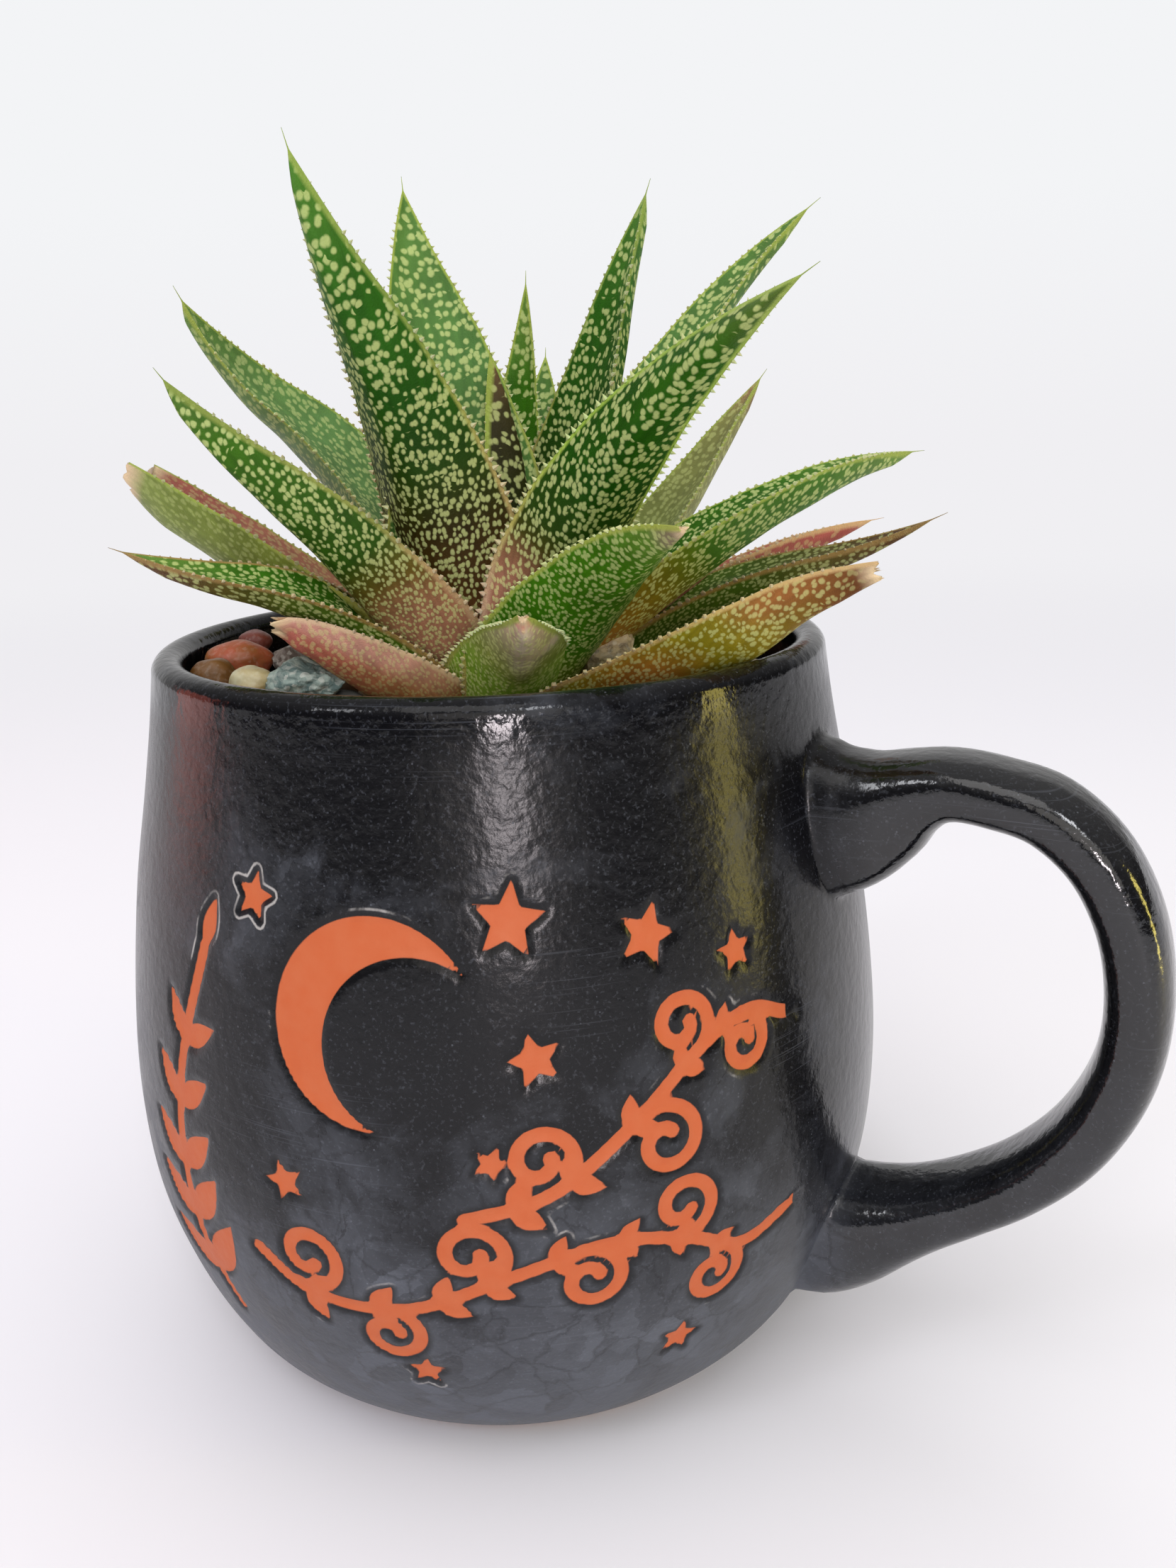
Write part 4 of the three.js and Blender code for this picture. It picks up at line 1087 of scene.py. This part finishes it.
def spotted_skin_material(settings):
    """Waxy succulent skin: deep green to sun-reddened, with soft-edged cream spots a good half millimetre
    across that run together into wavy cross-bands, a pale horny margin, and a low satin shine."""
    material, add, shader = new_material(
        "waxy_spotted_leaf_skin", Roughness=0.42, IOR=1.45, Subsurface_Weight=0.06,
        Subsurface_Radius=(1.0, 0.9, 0.25), Subsurface_Scale=0.0015, Specular_IOR_Level=0.12)
    skin, horn = (add("Attribute", attribute_name=name).outputs["Color"] for name in ("skin", "horn"))
    spotting, to_margin = (
        add("Attribute", attribute_name=name).outputs["Fac"] for name in ("spotting", "to_margin"))
    place = add("UVMap", uv_map="leaf_mm")

    drift = add("TexNoise", place, Scale=0.55, Detail=2.0, noise_dimensions="2D").outputs["Color"]
    centred = add("VectorMath SUBTRACT", drift, (0.5, 0.5, 0.5))
    warped = add("VectorMath MULTIPLY_ADD", centred, (0.6, 0.6, 0.0), place)
    # bands across the leaf, about 9 mm long and 3 mm apart
    banded = add("Mapping", warped, Scale=(0.11, 0.33, 1.0))
    bands = add("TexNoise", banded, Scale=1.0, Detail=1.0, noise_dimensions="2D")
    density = add("MapRange", bands, 0.36, 0.6, 0.62, 1.35)
    # two layers of spots: the spacing in millimetres, the share of places that hold one, and a shift
    layers = []
    for spacing, share, shift in ((1.25, 1.0, 0.0), (1.5, 0.55, 43.0)):
        scaled = add("Mapping", warped, Location=(shift, shift, 0.0),
                     Scale=(1 / spacing, 0.92 / spacing, 1.0))
        cells = add("TexVoronoi", scaled, Scale=1.0, Randomness=0.8, voronoi_dimensions="2D")
        chance = add("SeparateColor", cells.outputs["Color"])
        radius = add("MapRange", chance, 0.0, 1.0, 0.24, 0.33)
        outside, inside = (add("Math " + way, radius, 0.11) for way in ("ADD", "SUBTRACT"))
        round_spot = add("MapRange", cells, outside, inside, interpolation_type="SMOOTHSTEP")
        allowed = add("Math MULTIPLY", density, share)
        there = add("Math LESS_THAN", chance.outputs["Green"], allowed)
        layers.append(add("Math MULTIPLY", round_spot, there))
    spots = add("Math MAXIMUM", *layers)
    spot_share = add("Math MULTIPLY", spots, spotting)

    # faint streaks a millimetre wide along the leaf, and clouds about 6 mm across
    streaked = add("Mapping", place, Scale=(0.9, 0.12, 1.0))
    streaks = add("TexNoise", streaked, Scale=1.0, Detail=3.0, noise_dimensions="2D")
    clouds = add("TexNoise", place, Scale=0.16, Detail=3.0, noise_dimensions="2D")
    tone = add("Math ADD", streaks, clouds)
    flesh = add("HueSaturation", Color=skin, Value=add("MapRange", tone, 0.7, 1.3, 0.78, 1.1))

    # spots keep some of the skin's own colour
    pale = add("Mix RGBA", 0.5, flesh, tuple(settings.cream))
    spotted = add("Mix RGBA", spot_share, flesh, pale)
    rim = add("MapRange", to_margin, 0.38, 0.16, 0.0, 0.9)
    edge = add("Mix RGBA", 0.15, horn, tuple(settings.margin))
    colour = add("Mix RGBA", rim, spotted, edge)

    # cells of the skin, a quarter of a millimetre, and the spots standing very slightly proud
    grain = add("TexNoise", place, Scale=4.0, Detail=3.0, noise_dimensions="2D")
    relief = add("Math MULTIPLY_ADD", spot_share, 0.55, grain)
    add(shader, Base_Color=colour, Normal=add("Bump", Height=relief, Strength=0.5, Distance=0.00016))
    return material


def tooth_material(settings):
    """Cartilage: the pale, slightly glassy horn of the marginal teeth."""
    material, add, shader = new_material(
        "leaf_tooth_cartilage", Roughness=0.4, Subsurface_Weight=0.2, Subsurface_Scale=0.001)
    horn = add("Attribute", attribute_name="horn").outputs["Color"]
    add(shader, Base_Color=add("Mix RGBA", 0.45, horn, tuple(settings.teeth)))
    return material


def teeth_tree():
    """Geometry Nodes that set a row of teeth along every margin and keep the leaf itself."""
    add, (leaf, spacing, height, seed, skin, horn), result = tree_with_inputs(
        "marginal_teeth", Spacing=0.0011, Height=0.0008, Seed=0, Skin="Material", Horn="Material")
    margins = add("MeshToCurve", leaf, add("InputNamedAttribute BOOLEAN", "margin"))
    even = add("ResampleCurve", margins, Length=spacing, mode="LENGTH")
    size = add("InputNamedAttribute FLOAT", "tooth_size")
    base = add("Math MULTIPLY", height, 0.45)
    tooth = add("MeshCone", Vertices=5, Radius_Bottom=base, Depth=height, fill_type="NGON")
    way = add("InputNamedAttribute FLOAT_VECTOR", "tooth_way")
    turned = add("AlignRotationToVector", Vector=way, axis="Z")
    chance = add("RandomValue FLOAT", 0.55, 1.25, Seed=seed)
    scale = add("Math MULTIPLY", size, chance)
    big_enough = add("Math GREATER_THAN", size, 0.12)
    teeth = add("InstanceOnPoints", even, Selection=big_enough, Instance=tooth, Rotation=turned,
                Scale=scale)
    both = add("JoinGeometry")
    for shape, material in ((add("RealizeInstances", teeth), horn), (leaf, skin)):
        add(both, add("SetMaterial", shape, Material=material))
    add(result, both)
    return result.id_data


class MakeLeaves(bpy.types.Operator):
    """Grows the rosette, leaf by leaf"""
    bl_idname = "succulent.make_leaves"
    bl_label = "Leaves"

    def execute(self, context):
        settings = context.scene.succulent_plant
        skin, horn, tree = spotted_skin_material(settings), tooth_material(settings), teeth_tree()
        for seed, (name, row) in enumerate(LEAVES.items()):
            leaf = leaf_mesh(name, row, seed + 1)
            add_tree(leaf, tree, spacing=settings.tooth_spacing, height=settings.tooth_height, seed=seed,
                     skin=skin, horn=horn)
            bake_modifiers(leaf)
            for attribute in ("tooth_way", "tooth_size", "margin"):
                leaf.data.attributes.remove(leaf.data.attributes[attribute])
            kept(leaf, "leaf_pink" if name in SUN_REDDENED else "leaf_green", f"leaf_{name}")
        return {"FINISHED"}


# ------------------------------------------------------------------ studio

def photo_camera():
    """The camera that took the photograph."""
    turn = Matrix.Rotation(math.radians(CAMERA_TURN), 3, "Z")
    yaw, pitch, roll = CAMERA_YAW, CAMERA_PITCH, CAMERA_ROLL
    forward = Vector((math.sin(yaw) * math.cos(pitch), math.cos(yaw) * math.cos(pitch), -math.sin(pitch)))
    right = Vector((math.cos(yaw), -math.sin(yaw), 0))
    up = right.cross(forward)
    tilted_right = math.cos(roll) * right + math.sin(roll) * up
    tilted_up = -math.sin(roll) * right + math.cos(roll) * up
    data = bpy.data.cameras.new("camera")
    data.sensor_fit = "VERTICAL"
    data.sensor_height = 36
    data.lens = FOCAL_PIXELS * data.sensor_height / PHOTO_SIZE[1]
    data.clip_start = 0.005
    camera = bpy.data.objects.new("camera", data)
    axes = Matrix([turn @ tilted_right, turn @ tilted_up, turn @ -forward]).transposed().to_4x4()
    camera.matrix_world = Matrix.Translation(Vector(CAMERA_PLACE) * MM) @ axes
    bpy.context.scene.collection.objects.link(camera)
    bpy.context.scene.camera = camera


# Soft boxes: azimuth, distance and height in metres, width and height, share of the key light's power, colour
LIGHTS = {
    "key": (285, 0.6, 0.9, (0.6, 0.6), 1, "fcfaf9"),
    "window_left": (246, 1.0, 0.75, (0.16, 0.3), 0.65, "f8faff"),
    "window_right": (316, 1.0, 0.85, (0.16, 0.3), 1.1, "f8faff"),
    "strip": (303, 1.5, 0.25, (0.14, 0.26), 2.6, "fff4f8"),
    "bounce": (302, 1.0, 0.4, (0.9, 0.5), 0.9, "fffaf4"),
    "olive_reflector": (12.3, 0.46, 0.1, (0.05, 0.2), 0.28, "c8b860"),
    "brown_reflector": (196, 0.52, 0.12, (0.2, 0.2), 0.22, "b0584a"),
}
LIT_POINT = (0, 0, 0.07)
FAR_PAPER = "f0eff2"     # of the background at the floor's far end


def area_light(name, azimuth, distance, height, size, power, colour):
    """A soft box that faces the pot, at an azimuth, a distance and a height in metres."""
    data = bpy.data.lights.new(name, "AREA")
    data.shape = "RECTANGLE"
    data.size, data.size_y = size
    data.energy = power
    data.color = linear(colour)[:3]
    light = bpy.data.objects.new(name, data)
    light.visible_camera = False
    angle = math.radians(azimuth)
    place = Vector((distance * math.cos(angle), distance * math.sin(angle), height))
    aim = (Vector(LIT_POINT) - place).to_track_quat("-Z", "Y").to_matrix().to_4x4()
    light.matrix_world = Matrix.Translation(place) @ aim
    bpy.context.scene.collection.objects.link(light)


def studio_world():
    """A pale sweep behind the pot: what the glaze mirrors is bright overhead and behind, and dim in front."""
    world = bpy.data.worlds.new("studio")
    bpy.context.scene.world = world
    world.use_nodes = True
    world.node_tree.nodes.clear()
    add = partial(add_node, world.node_tree)
    direction = add("TexCoord").outputs["Generated"]
    height = add("SeparateXYZ", direction).outputs["Z"]
    path = add("LightPath").outputs
    # overhead light is dimmer in what the glaze mirrors, so that the lip stays black
    overhead = add("MapRange", height, 0.1, 0.9, 0.12, 1.3)
    mirrored = add("MapRange", path["Is Glossy Ray"], 0.0, 1.0, 1.0, 0.4)
    dimmed = add("Math MULTIPLY", overhead, mirrored)
    behind = math.radians(CAMERA_TURN + 90)
    facing = add("VectorMath DOT_PRODUCT", direction, (math.cos(behind), math.sin(behind), 0.0))
    sweep = add("MapRange", facing, 0.35, 0.8, 0.0, 0.7)
    strength = add("Math MAXIMUM", dimmed, sweep)
    lighting = add("Background", Color=linear("f7f6f6"), Strength=strength)
    rise = add("MapRange", height, -0.02, 0.15)
    paper = add("Mix RGBA", rise, linear(FAR_PAPER), linear("f3f4f6"))
    seen = add("Background", Color=paper, Strength=1.0)
    add("OutputWorld", add("MixShader", path["Is Camera Ray"], lighting, seen))


class MakeStudio(bpy.types.Operator):
    """Sets the pot on a pale floor under soft light, in front of the photograph's camera"""
    bl_idname = "succulent.make_studio"
    bl_label = "Studio"

    def execute(self, context):
        settings = context.scene.succulent_studio
        photo_camera()
        corners = [(-6000, -6000, 0), (6000, -6000, 0), (6000, 6000, 0), (-6000, 6000, 0)]
        floor = mesh_object("floor", corners, [(0, 1, 2, 3)], smooth=False)
        material, add, shader = new_material(
            "white_paper_sweep", Roughness=0.7, Base_Color=tuple(settings.floor))
        # far off, the floor glows with painted light as bright as the background, standing in for a lit sheet
        # of paper that sweeps up
        distance = add("VectorMath LENGTH", add("TexCoord").outputs["Object"])
        far = add("MapRange", distance, 0.15, 1.0, interpolation_type="SMOOTHSTEP")
        far_painted_glow = add("Emission", Color=linear(FAR_PAPER), Strength=1.0)
        add(material.node_tree.nodes["Material Output"], Surface=add("MixShader", far, shader, far_painted_glow))
        floor.data.materials.append(material)
        studio_world()
        for name, (azimuth, distance, height, size, share, colour) in LIGHTS.items():
            area_light(name, azimuth, distance, height, size, share * settings.key, colour)
        context.scene.view_settings.view_transform = "Standard"
        return {"FINISHED"}


# ------------------------------------------------------------------ add-on

class SucculentPanel(bpy.types.Panel):
    """Lists the pieces of the potted succulent and their settings"""
    bl_idname = "VIEW3D_PT_succulent"
    bl_label = "Potted succulent"
    bl_space_type = "VIEW_3D"
    bl_region_type = "UI"
    bl_category = "Succulent"

    def draw(self, context):
        for operator in OPERATORS:
            self.layout.operator(operator.bl_idname)
        for group in SETTINGS:
            settings = getattr(context.scene, group)
            for name in settings.bl_rna.properties.keys():
                if name not in ("rna_type", "name"):
                    self.layout.prop(settings, name)


OPERATORS = (MakeMug, DressSoil, MakeGravel, MakeStones, MakeLeaves, MakeStudio)
SETTINGS = {
    "succulent_mug": MugSettings,
    "succulent_plant": PlantSettings,
    "succulent_filling": FillingSettings,
    "succulent_studio": StudioSettings,
}


def register():
    for made in (*SETTINGS.values(), *OPERATORS, SucculentPanel):
        bpy.utils.register_class(made)
    for name, group in SETTINGS.items():
        setattr(bpy.types.Scene, name, bpy.props.PointerProperty(type=group))


def unregister():
    for name in SETTINGS:
        delattr(bpy.types.Scene, name)
    for made in reversed((*SETTINGS.values(), *OPERATORS, SucculentPanel)):
        bpy.utils.unregister_class(made)


def main():
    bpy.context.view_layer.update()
    register()
    for operator in OPERATORS:
        group, name = operator.bl_idname.split(".")
        getattr(getattr(bpy.ops, group), name)()


if __name__ == "__main__":
    main()
